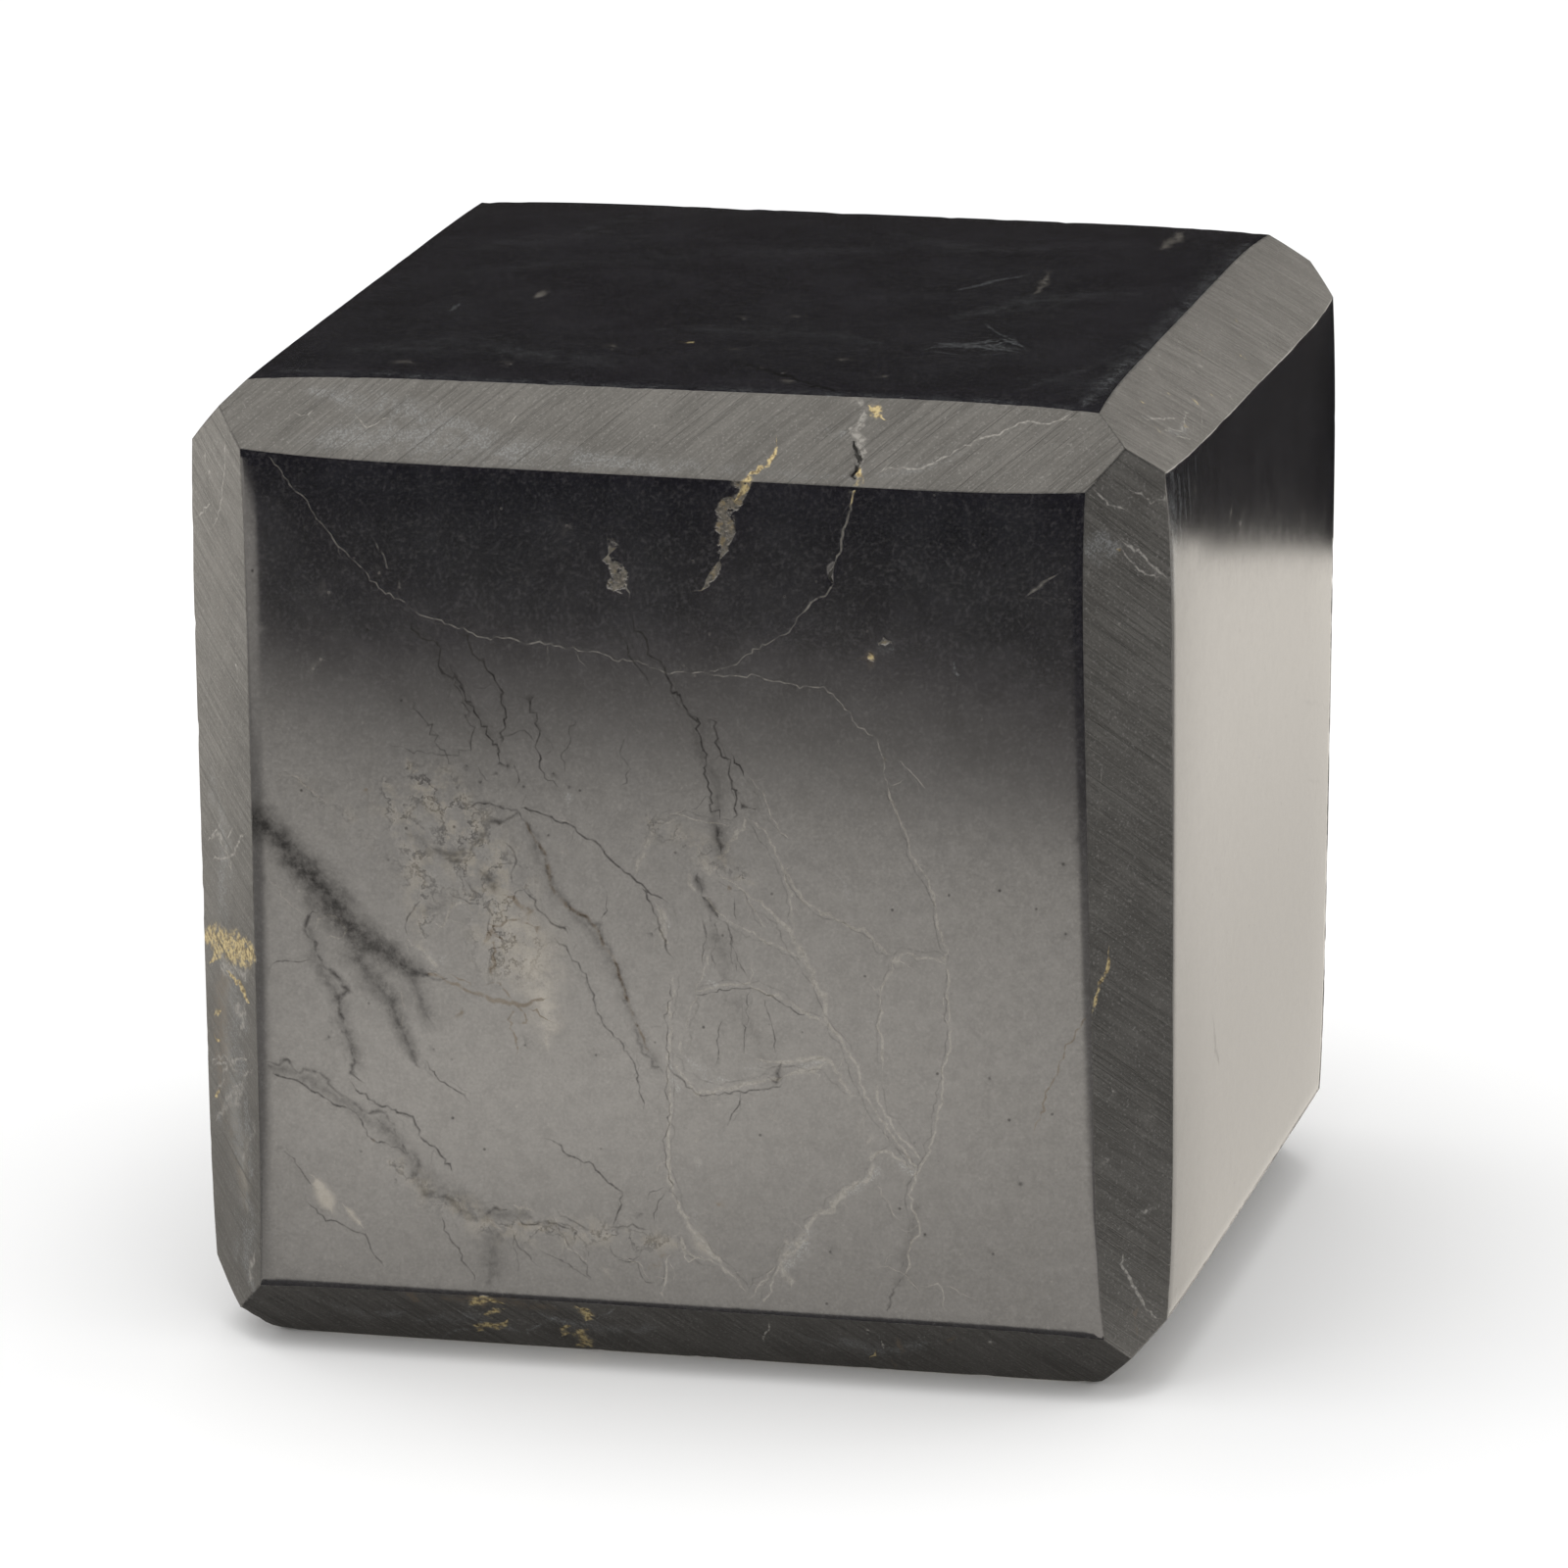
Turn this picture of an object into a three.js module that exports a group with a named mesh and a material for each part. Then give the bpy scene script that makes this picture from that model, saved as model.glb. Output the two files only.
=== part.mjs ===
// A cube of shungite, sawn, ground and polished by hand.
//
// Six polished faces are flat in the middle and roll off towards their edges. Twelve ground
// bevels of uneven width run between them, and three bevels meet in a point at each corner.
// Millimetres, +Z up, front of the stone towards -Y, origin on the surface it rests on.

import * as THREE from "three";
import { mergeVertices } from "three/addons/utils/BufferGeometryUtils.js";

// Driving dimensions of the stone
const WIDTH = 50;
const DEPTH = 48.7;
const HEIGHT = 49.7;
const SIZE = new THREE.Vector3(WIDTH, DEPTH, HEIGHT);

// A surface is flat out to a share of half the width, and then rolls off. Polishing rounded
// the seen faces more than the one that the stone rests on
const FLAT_SHARE = 0.4;
const RESTING_FLAT_SHARE = 0.72;
const ROLL_POWER = 3;
const BEVEL_ROLL = 0.1;

// Half the width of a bevel, where its crown is measured
const CROWN_REACH = 2.75;

// Each face: the way it looks, the share of it that is flat, how far it has rolled off at
// half the width, and how far hand grinding left it out of square, in degrees towards the
// next two axes
const FACES = {
  front: { normal: [0, -1, 0], flat: FLAT_SHARE, roll: 0.6, lean: [0, 0] },
  back: { normal: [0, 1, 0], flat: FLAT_SHARE, roll: 0.55, lean: [0, 0] },
  right: { normal: [1, 0, 0], flat: FLAT_SHARE, roll: 0.6, lean: [-0.4, 0.15] },
  left: { normal: [-1, 0, 0], flat: FLAT_SHARE, roll: 0.55, lean: [0.2, -0.15] },
  top: { normal: [0, 0, 1], flat: FLAT_SHARE, roll: 0.6, lean: [0, 0.05] },
  bottom: { normal: [0, 0, -1], flat: RESTING_FLAT_SHARE, roll: 1.3, lean: [0, 0] },
};

// Each bevel: its two faces, its leg along either face, its turns in degrees along and
// across the edge, and how much higher its middle stands than its sides
const BEVELS = [
  { between: ["front", "top"], leg: 3.8, twist: -0.25, slant: 2.4, crown: 0.07 },
  { between: ["front", "right"], leg: 4.0, twist: 0.6, slant: -1.2, crown: 0.07 },
  { between: ["front", "left"], leg: 4.3, twist: -0.15, slant: -1.45, crown: 0.07 },
  { between: ["front", "bottom"], leg: 3.7, twist: 0.05, slant: 2.05, crown: 0.07 },
  { between: ["top", "right"], leg: 4.05, twist: 0.05, slant: 2.2, crown: 0.07 },
  { between: ["left", "top"], leg: 3.95, twist: -0.1, slant: 0.9, crown: 0.08 },
  { between: ["left", "bottom"], leg: 3.7, twist: -0.15, slant: 3.1, crown: 0.2 },
  { between: ["right", "bottom"], leg: 4.2, twist: 0.2, slant: 1.8, crown: 0.07 },
  { between: ["top", "back"], leg: 3.15, twist: -0.75, slant: -0.65, crown: 0.15 },
  { between: ["right", "back"], leg: 5.2, twist: -3.35, slant: -1, crown: 0.25 },
  { between: ["left", "back"], leg: 4.0, twist: 0.4, slant: 1, crown: 0.15 },
  { between: ["bottom", "back"], leg: 3.8, twist: -0.3, slant: -1, crown: 0.15 },
];

// Grid over the stone: planes across each axis, closer together towards the edges
const PLANES_EACH_WAY = 7;
const PLANE_REACH = 17.5;
const PLANE_SPREAD = 1.5;
const BEVEL_END = 20.6;

const AXES = [new THREE.Vector3(1, 0, 0), new THREE.Vector3(0, 1, 0), new THREE.Vector3(0, 0, 1)];

// How far along its roll-off a surface is at a point, going one way from the middle
function rollOff(point, direction, flat) {
  const share = Math.abs(point.dot(direction)) / (WIDTH / 2);
  return (Math.max(0, share - flat) / (1 - flat)) ** ROLL_POWER;
}

// A surface holds the points p with normal . p = distance - drop(p)
function plane(normal, distance) {
  return { normal, distance, drop: () => 0 };
}

function faceSurface({ normal, flat, roll, lean }) {
  const facing = new THREE.Vector3(...normal);
  const axis = normal.findIndex((value) => value !== 0);
  const [u, v] = [AXES[(axis + 1) % 3], AXES[(axis + 2) % 3]];
  const leaning = facing.clone();
  leaning.addScaledVector(u, THREE.MathUtils.degToRad(lean[0]));
  leaning.addScaledVector(v, THREE.MathUtils.degToRad(lean[1]));
  const drop = (p) => roll * (rollOff(p, u, flat) + rollOff(p, v, flat));
  return { normal: leaning.normalize(), distance: SIZE.getComponent(axis) / 2, drop };
}

function bevelSurface({ between, leg, twist, slant, crown }) {
  const [a, b] = between.map((name) => new THREE.Vector3(...FACES[name].normal));
  const along = a.clone().cross(b);
  const across = a.clone().sub(b).normalize();
  const normal = a.clone().add(b).normalize();
  normal.addScaledVector(along, THREE.MathUtils.degToRad(twist));
  normal.addScaledVector(across, THREE.MathUtils.degToRad(slant));
  normal.normalize();
  const middle = a.clone().add(b).multiply(SIZE).divideScalar(2);
  middle.addScaledVector(a.clone().add(b), -leg / 2);
  const drop = (p) => {
    const sideways = p.clone().sub(middle).dot(across) / CROWN_REACH;
    return BEVEL_ROLL * rollOff(p, along, FLAT_SHARE) + crown * sideways ** 2;
  };
  return { normal, distance: normal.dot(middle), drop };
}

// The point where three surfaces meet. Each round solves for three planes, after lowering
// each one by its drop at the point found before
function meet(surfaces) {
  const rounds = 14;
  const rows = surfaces.flatMap(({ normal }) => normal.toArray());
  const solver = new THREE.Matrix3().set(...rows).invert();
  let point = new THREE.Vector3();
  for (let round = 0; round < rounds; round++) {
    const heights = surfaces.map(({ distance, drop }) => distance - drop(point));
    point = new THREE.Vector3(...heights).applyMatrix3(solver);
  }
  return point;
}

const faceSurfaces = Object.fromEntries(
  Object.entries(FACES).map(([name, face]) => [name, faceSurface(face)]),
);
const bevelSurfaces = BEVELS.map((bevel) => ({ between: bevel.between, surface: bevelSurface(bevel) }));

function faceName(axis, sign) {
  return Object.keys(FACES).find((name) => FACES[name].normal[axis] === sign);
}

function bevelBetween(nameA, nameB) {
  return bevelSurfaces.find(({ between }) => between.includes(nameA) && between.includes(nameB)).surface;
}

// Lines of the grid on one axis, counted from the middle: planes first, then the line where
// a face meets its bevel, then the middle of the bevel
const BORDER_LINE = PLANES_EACH_WAY + 1;
const OUTER_LINE = PLANES_EACH_WAY + 2;

function gridPlane(axis, line) {
  const share = Math.abs(line) / PLANES_EACH_WAY;
  const reach = line > 0 ? PLANE_REACH : -PLANE_REACH;
  return plane(AXES[axis], reach * (1 - (1 - share) ** PLANE_SPREAD));
}

// Place of the grid point on these three lines
function gridPoint(lines) {
  const at = lines.map((line, axis) => ({ axis, line, rank: Math.abs(line), sign: Math.sign(line) }));
  const outer = at.filter(({ rank }) => rank === OUTER_LINE);
  const others = at.filter(({ rank }) => rank < OUTER_LINE);
  const names = outer.map(({ axis, sign }) => faceName(axis, sign));
  if (outer.length === 3) {
    const [a, b, c] = names;
    return meet([bevelBetween(a, b), bevelBetween(b, c), bevelBetween(a, c)]);
  }
  if (outer.length === 2) {
    const [one, other] = outer;
    const across = AXES[one.axis].clone().multiplyScalar(one.sign);
    across.addScaledVector(AXES[other.axis], -other.sign);
    const halfway = plane(across, (SIZE.getComponent(one.axis) - SIZE.getComponent(other.axis)) / 2);
    const { axis, line, rank, sign } = others[0];
    const end = rank === BORDER_LINE ? plane(AXES[axis], sign * BEVEL_END) : gridPlane(axis, line);
    return meet([bevelBetween(...names), halfway, end]);
  }
  const crossing = others.map(({ axis, line, rank, sign }) =>
    rank === BORDER_LINE ? bevelBetween(names[0], faceName(axis, sign)) : gridPlane(axis, line),
  );
  return meet([faceSurfaces[names[0]], ...crossing]);
}

// Moves the points of a box grid onto the stone
function moveToStone(box) {
  const position = box.getAttribute("position");
  for (let i = 0; i < position.count; i++) {
    const lines = [position.getX(i), position.getY(i), position.getZ(i)].map(Math.round);
    position.setXYZ(i, ...gridPoint(lines).toArray());
  }
}

// Splits each corner square of the grid from the corner inwards, where two bevels meet
function splitCorners(box) {
  const index = box.getIndex();
  const position = box.getAttribute("position");
  const isCorner = (i) =>
    [position.getX(i), position.getY(i), position.getZ(i)].every((value) => Math.abs(value) > BORDER_LINE);
  for (let start = 0; start < index.count; start += 6) {
    const [a, b, d, , c] = index.array.slice(start, start + 6);
    if (isCorner(a) || isCorner(c)) {
      index.array.set([a, b, c, a, c, d], start);
    }
  }
}

function stoneGeometry() {
  const side = 2 * OUTER_LINE;
  const box = new THREE.BoxGeometry(side, side, side, side, side, side);
  box.deleteAttribute("normal");
  box.deleteAttribute("uv");
  splitCorners(box);
  moveToStone(box);
  const stone = mergeVertices(box);
  stone.computeVertexNormals();
  stone.computeBoundingBox();
  const { min, max } = stone.boundingBox;
  stone.translate(-(min.x + max.x) / 2, -(min.y + max.y) / 2, -min.z);
  return stone;
}

const polishedShungite = new THREE.MeshStandardMaterial({
  color: 0x232225,
  roughness: 0.25,
  metalness: 0,
});

const cube = new THREE.Mesh(stoneGeometry(), polishedShungite);
cube.name = "shungite_cube";

const part = new THREE.Group();
part.add(cube);

export default part;
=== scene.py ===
"""Looks of a hand-polished shungite cube: the stone's fine surface, its materials and a small studio.

The stone's surfaces follow the same values as its solid. Each of the six faces and twelve
bevels is a sheet of triangles laid over its surface, and every vein, crack and speck is a
line or spot in that sheet that says how much of it shows at each point.
"""

import math
import random

import bpy
import numpy as np
from mathutils import Matrix, Vector, noise
from mathutils.geometry import delaunay_2d_cdt


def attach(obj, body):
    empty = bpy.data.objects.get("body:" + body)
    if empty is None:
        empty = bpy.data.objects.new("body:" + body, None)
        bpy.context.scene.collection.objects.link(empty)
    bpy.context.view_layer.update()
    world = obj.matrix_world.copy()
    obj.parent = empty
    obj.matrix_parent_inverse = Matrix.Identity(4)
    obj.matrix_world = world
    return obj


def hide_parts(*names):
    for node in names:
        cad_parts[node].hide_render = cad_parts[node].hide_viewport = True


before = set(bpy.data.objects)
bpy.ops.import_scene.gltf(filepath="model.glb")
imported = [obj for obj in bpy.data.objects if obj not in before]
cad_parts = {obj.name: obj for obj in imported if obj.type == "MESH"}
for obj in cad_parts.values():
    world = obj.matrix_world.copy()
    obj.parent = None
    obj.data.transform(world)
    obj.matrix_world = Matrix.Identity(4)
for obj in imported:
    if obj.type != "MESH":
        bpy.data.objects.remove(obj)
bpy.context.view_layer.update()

MM = 0.001

# The stone's sides and surfaces, in millimetres from its middle
SIDES = np.array([50, 48.7, 49.7])
HALF_SIDES = SIDES / 2
HALF_WIDTH, _, HALF_HEIGHT = HALF_SIDES
FLAT_SHARE = 0.4
RESTING_FLAT_SHARE = 0.72
ROLL_POWER = 3
BEVEL_ROLL = 0.1
CROWN_REACH = 2.75

# Each face, by its letter (K is the back): where it looks, flat share, roll-off, and its
# lean in degrees
FACES = {
    "F": ((0, -1, 0), FLAT_SHARE, 0.6, (0, 0)),
    "K": ((0, 1, 0), FLAT_SHARE, 0.55, (0, 0)),
    "R": ((1, 0, 0), FLAT_SHARE, 0.6, (-0.4, 0.15)),
    "L": ((-1, 0, 0), FLAT_SHARE, 0.55, (0.2, -0.15)),
    "T": ((0, 0, 1), FLAT_SHARE, 0.6, (0, 0.05)),
    "B": ((0, 0, -1), RESTING_FLAT_SHARE, 1.3, (0, 0)),
}

# Each bevel, by its two faces: leg, twist, slant, crown, and which way its grinding lines
# run, as a slope over the length of the bevel
BEVELS = {
    "FT": (3.8, -0.25, 2.4, 0.07, 1.1),
    "FR": (4.0, 0.6, -1.2, 0.07, -1.3),
    "FL": (4.3, -0.15, -1.45, 0.07, 1.6),
    "FB": (3.7, 0.05, 2.05, 0.07, 1.3),
    "TR": (4.05, 0.05, 2.2, 0.07, 1.2),
    "LT": (3.95, -0.1, 0.9, 0.08, 1.0),
    "LB": (3.7, -0.15, 3.1, 0.2, -1.2),
    "RB": (4.2, 0.2, 1.8, 0.07, 1.4),
    "TK": (3.15, -0.75, -0.65, 0.15, 0.8),
    "RK": (5.2, -3.35, -1, 0.25, -1.1),
    "LK": (4.0, 0.4, 1, 0.15, 1.2),
    "BK": (3.8, -0.3, -1, 0.15, -1.5),
}

# Rounds in which a point settles on surfaces that roll off
MEETING_ROUNDS = 16
LIFTING_ROUNDS = 8

# Spacing of points: along the borders, over faces, over bevels and along markings
BORDER_STEP = 0.45
FACE_STEP = 0.9
BEVEL_STEP = 0.6
MARK_STEP = 0.25
BEND_LENGTH = 0.9

# Fine side cracks leave a marking about this far apart
TWIG_SPACING = 1.3

# Shorter lines get no finer cracks
SHORTEST_ENRICHED = 1.5

# Points round a spot
SPOT_POINTS = 9

# Polishing rounds the last stretch of a face before its border
EDGE_REACH = 0.8
EDGE_TILT = math.radians(9)
EDGE_POWER = 1.3
EDGE_RINGS = (0.25, 0.5, EDGE_REACH)

# The worn line beside each border, and how deep the border itself is worn and chipped
RIM_WIDTH = (0.05, 0.15)
CHIP_DEPTH = (0.012, 0.07)

# How deep the markings that aren't only colour lie
MARK_DEPTHS = {"pit": 0.14, "gold": 0.008}

# Kinds of marking. Each point of the mesh has an amount of every kind
CHANNELS = ("pale", "dark", "gold", "brown", "haze", "cream", "mottle", "smudge", "pit", "crumb")


# Surfaces

def roll_off(points, direction, flat):
    share = np.abs(points @ direction) / HALF_WIDTH
    return (np.maximum(0, share - flat) / (1 - flat)) ** ROLL_POWER


class Surface:
    """Holds the points p with normal . p = distance - drop(p)."""

    def __init__(self, normal, distance, drop):
        self.normal = normal / np.linalg.norm(normal)
        self.distance = distance
        self.drop = drop

    def normals(self, points):
        """Way that the surface looks at each point."""
        reach = 0.01
        slopes = [
            (self.drop(points + reach * axis) - self.drop(points - reach * axis)) / (2 * reach)
            for axis in np.eye(3)
        ]
        leaning = self.normal + np.stack(slopes, axis=1)
        return leaning / np.linalg.norm(leaning, axis=1, keepdims=True)


def face_surface(name):
    way, flat, roll, lean = FACES[name]
    facing = np.array(way, float)
    axis = int(np.argmax(np.abs(facing)))
    u, v = np.eye(3)[(axis + 1) % 3], np.eye(3)[(axis + 2) % 3]
    normal = facing + math.radians(lean[0]) * u + math.radians(lean[1]) * v

    def drop(p):
        return roll * (roll_off(p, u, flat) + roll_off(p, v, flat))

    return Surface(normal, SIDES[axis] / 2, drop)


def bevel_surface(name):
    leg, twist, slant, crown, _ = BEVELS[name]
    a, b = (np.array(FACES[letter][0], float) for letter in name)
    along = np.cross(a, b)
    across = (a - b) / math.sqrt(2)
    normal = (a + b) / math.sqrt(2) + math.radians(twist) * along + math.radians(slant) * across
    normal /= np.linalg.norm(normal)
    middle = (a + b) * (HALF_SIDES - leg / 2)

    def drop(p):
        sideways = (p - middle) @ across / CROWN_REACH
        return BEVEL_ROLL * roll_off(p, along, FLAT_SHARE) + crown * sideways ** 2

    return Surface(normal, normal @ middle, drop)


surfaces = {name: face_surface(name) for name in FACES} | {name: bevel_surface(name) for name in BEVELS}


def bevel_name(a, b):
    return a + b if a + b in BEVELS else b + a


def meet(names, plane_normal=None, plane_distances=None):
    """Points where surfaces meet each other, or two of them meet a row of planes."""
    shapes = [surfaces[name] for name in names]
    rows = [shape.normal for shape in shapes]
    count = 1
    if plane_normal is not None:
        rows.append(plane_normal)
        count = len(plane_distances)
    solver = np.linalg.inv(np.array(rows))
    points = np.zeros((count, 3))
    for _ in range(MEETING_ROUNDS):
        heights = [shape.distance - shape.drop(points) for shape in shapes]
        if plane_normal is not None:
            heights.append(plane_distances)
        points = np.stack(heights, axis=1) @ solver.T
    return points


# Regions: each face and bevel with its own flat coordinates u, v

def opposite(a, b):
    return np.allclose(np.add(FACES[a][0], FACES[b][0]), 0)


class Region:
    """One face or bevel, with the place of its u, v plane in the stone."""

    def __init__(self, name):
        self.name = name
        self.surface = surfaces[name]
        self.is_bevel = name in BEVELS
        if self.is_bevel:
            a, b = (np.array(FACES[letter][0], float) for letter in name)
            self.u_way = np.abs(np.cross(a, b))
            self.v_way = (b - a) / math.sqrt(2)
            self.out = (a + b) / math.sqrt(2)
            reach_a, reach_b = HALF_SIDES @ np.abs(a), HALF_SIDES @ np.abs(b)
            self.origin = self.v_way * (reach_b - reach_a) / math.sqrt(2)
        else:
            self.out = np.array(FACES[name][0], float)
            self.u_way, self.v_way = [axis for axis in np.eye(3) if abs(axis @ self.out) < 0.5]
            self.origin = np.zeros(3)
        # Heights in the marking lists are counted from the surface that the stone rests on
        base = np.array([0, 0, HALF_HEIGHT])
        self.shift = np.array([base @ self.u_way, 0 if self.is_bevel else base @ self.v_way])

    def flat(self, points):
        away = points - self.origin
        return np.stack([away @ self.u_way, away @ self.v_way], axis=1) + self.shift

    def lifted(self, flat_points):
        """Points of the surface over these u, v."""
        u, v = (np.asarray(flat_points) - self.shift).T
        base = self.origin + u[:, None] * self.u_way + v[:, None] * self.v_way
        shape = self.surface
        points = base
        for _ in range(LIFTING_ROUNDS):
            gap = shape.distance - shape.drop(points) - base @ shape.normal
            points = base + (gap / (shape.normal @ self.out))[:, None] * self.out
        return points


regions = {name: Region(name) for name in surfaces}


# Borders: each is one row of points shared by the two regions beside it

stone_points = []
borders = {}
corner_ids = {}


def add_points(points):
    start = len(stone_points)
    stone_points.extend(points)
    return list(range(start, start + len(points)))


def corner(face, a, b):
    """Where a face meets two of its bevels."""
    key = (face, frozenset((a, b)))
    if key not in corner_ids:
        point = meet((face, bevel_name(face, a), bevel_name(face, b)))
        corner_ids[key] = add_points(point)[0]
    return corner_ids[key]


def tip(a, b, c):
    """Where the three bevels of a corner meet."""
    key = frozenset((a, b, c))
    if key not in corner_ids:
        point = meet((bevel_name(a, b), bevel_name(b, c), bevel_name(a, c)))
        corner_ids[key] = add_points(point)[0]
    return corner_ids[key]


def border(start, end, names):
    """Ids along the border of two regions, from one corner point to another."""
    if (end, start) in borders:
        return borders[(end, start)][::-1]
    if (start, end) not in borders:
        first, last = stone_points[start], stone_points[end]
        way = (last - first) / np.linalg.norm(last - first)
        pieces = max(4, round(np.linalg.norm(last - first) / BORDER_STEP))
        at = np.linspace(first @ way, last @ way, pieces + 1)[1:-1]
        borders[(start, end)] = [start, *add_points(meet(names, way, at)), end]
    return borders[(start, end)]


def neighbours(face):
    """The four faces round a face, in turn."""
    others = [other for other in FACES if other != face and not opposite(face, other)]
    first = others[0]
    second = next(other for other in others if other != first and not opposite(other, first))
    third = next(other for other in others if opposite(other, first))
    fourth = next(other for other in others if opposite(other, second))
    return [first, second, third, fourth]


def face_outline(face):
    ring = neighbours(face)
    loop = []
    for i, side in enumerate(ring):
        start = corner(face, ring[i - 1], side)
        end = corner(face, side, ring[(i + 1) % 4])
        loop += border(start, end, (face, bevel_name(face, side)))[:-1]
    return loop


def bevel_outline(name):
    a, b = name
    c, d = [other for other in FACES if other not in name and not any(opposite(other, side) for side in name)]
    a_c, a_d, b_c, b_d = corner(a, b, c), corner(a, b, d), corner(b, a, c), corner(b, a, d)
    tip_c, tip_d = tip(a, b, c), tip(a, b, d)
    loop = border(a_c, a_d, (a, name))[:-1]
    loop += border(a_d, tip_d, (name, bevel_name(a, d)))[:-1]
    loop += border(tip_d, b_d, (name, bevel_name(b, d)))[:-1]
    loop += border(b_d, b_c, (b, name))[:-1]
    loop += border(b_c, tip_c, (name, bevel_name(b, c)))[:-1]
    loop += border(tip_c, a_c, (name, bevel_name(a, c)))[:-1]
    return loop


# Markings, traced one by one: each list has lines and spots in the u, v of its region, in
# millimetres. A line has a channel, a width or several along it, its path and its strength

def places(text):
    return np.array([[float(value) for value in pair.split(",")] for pair in text.split()])


def as_line(channel, width, path, strength=1.0, wander=0.05):
    """A marking along a path, with one width or several in turn, and how far it may wander."""
    return {
        "channel": channel,
        "width": width,
        "path": np.array(path),
        "strength": strength,
        "wander": wander,
    }


def as_spots(channel, size, centres, strength=1.0):
    return {"channel": channel, "size": size, "centres": np.array(centres), "strength": strength}


def line(channel, width, text, strength=1.0, wander=0.05):
    return as_line(channel, width, places(text), strength, wander)


def spots(channel, size, text, strength=1.0):
    return as_spots(channel, size, places(text), strength)


MARKS = {name: [] for name in regions}

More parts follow.
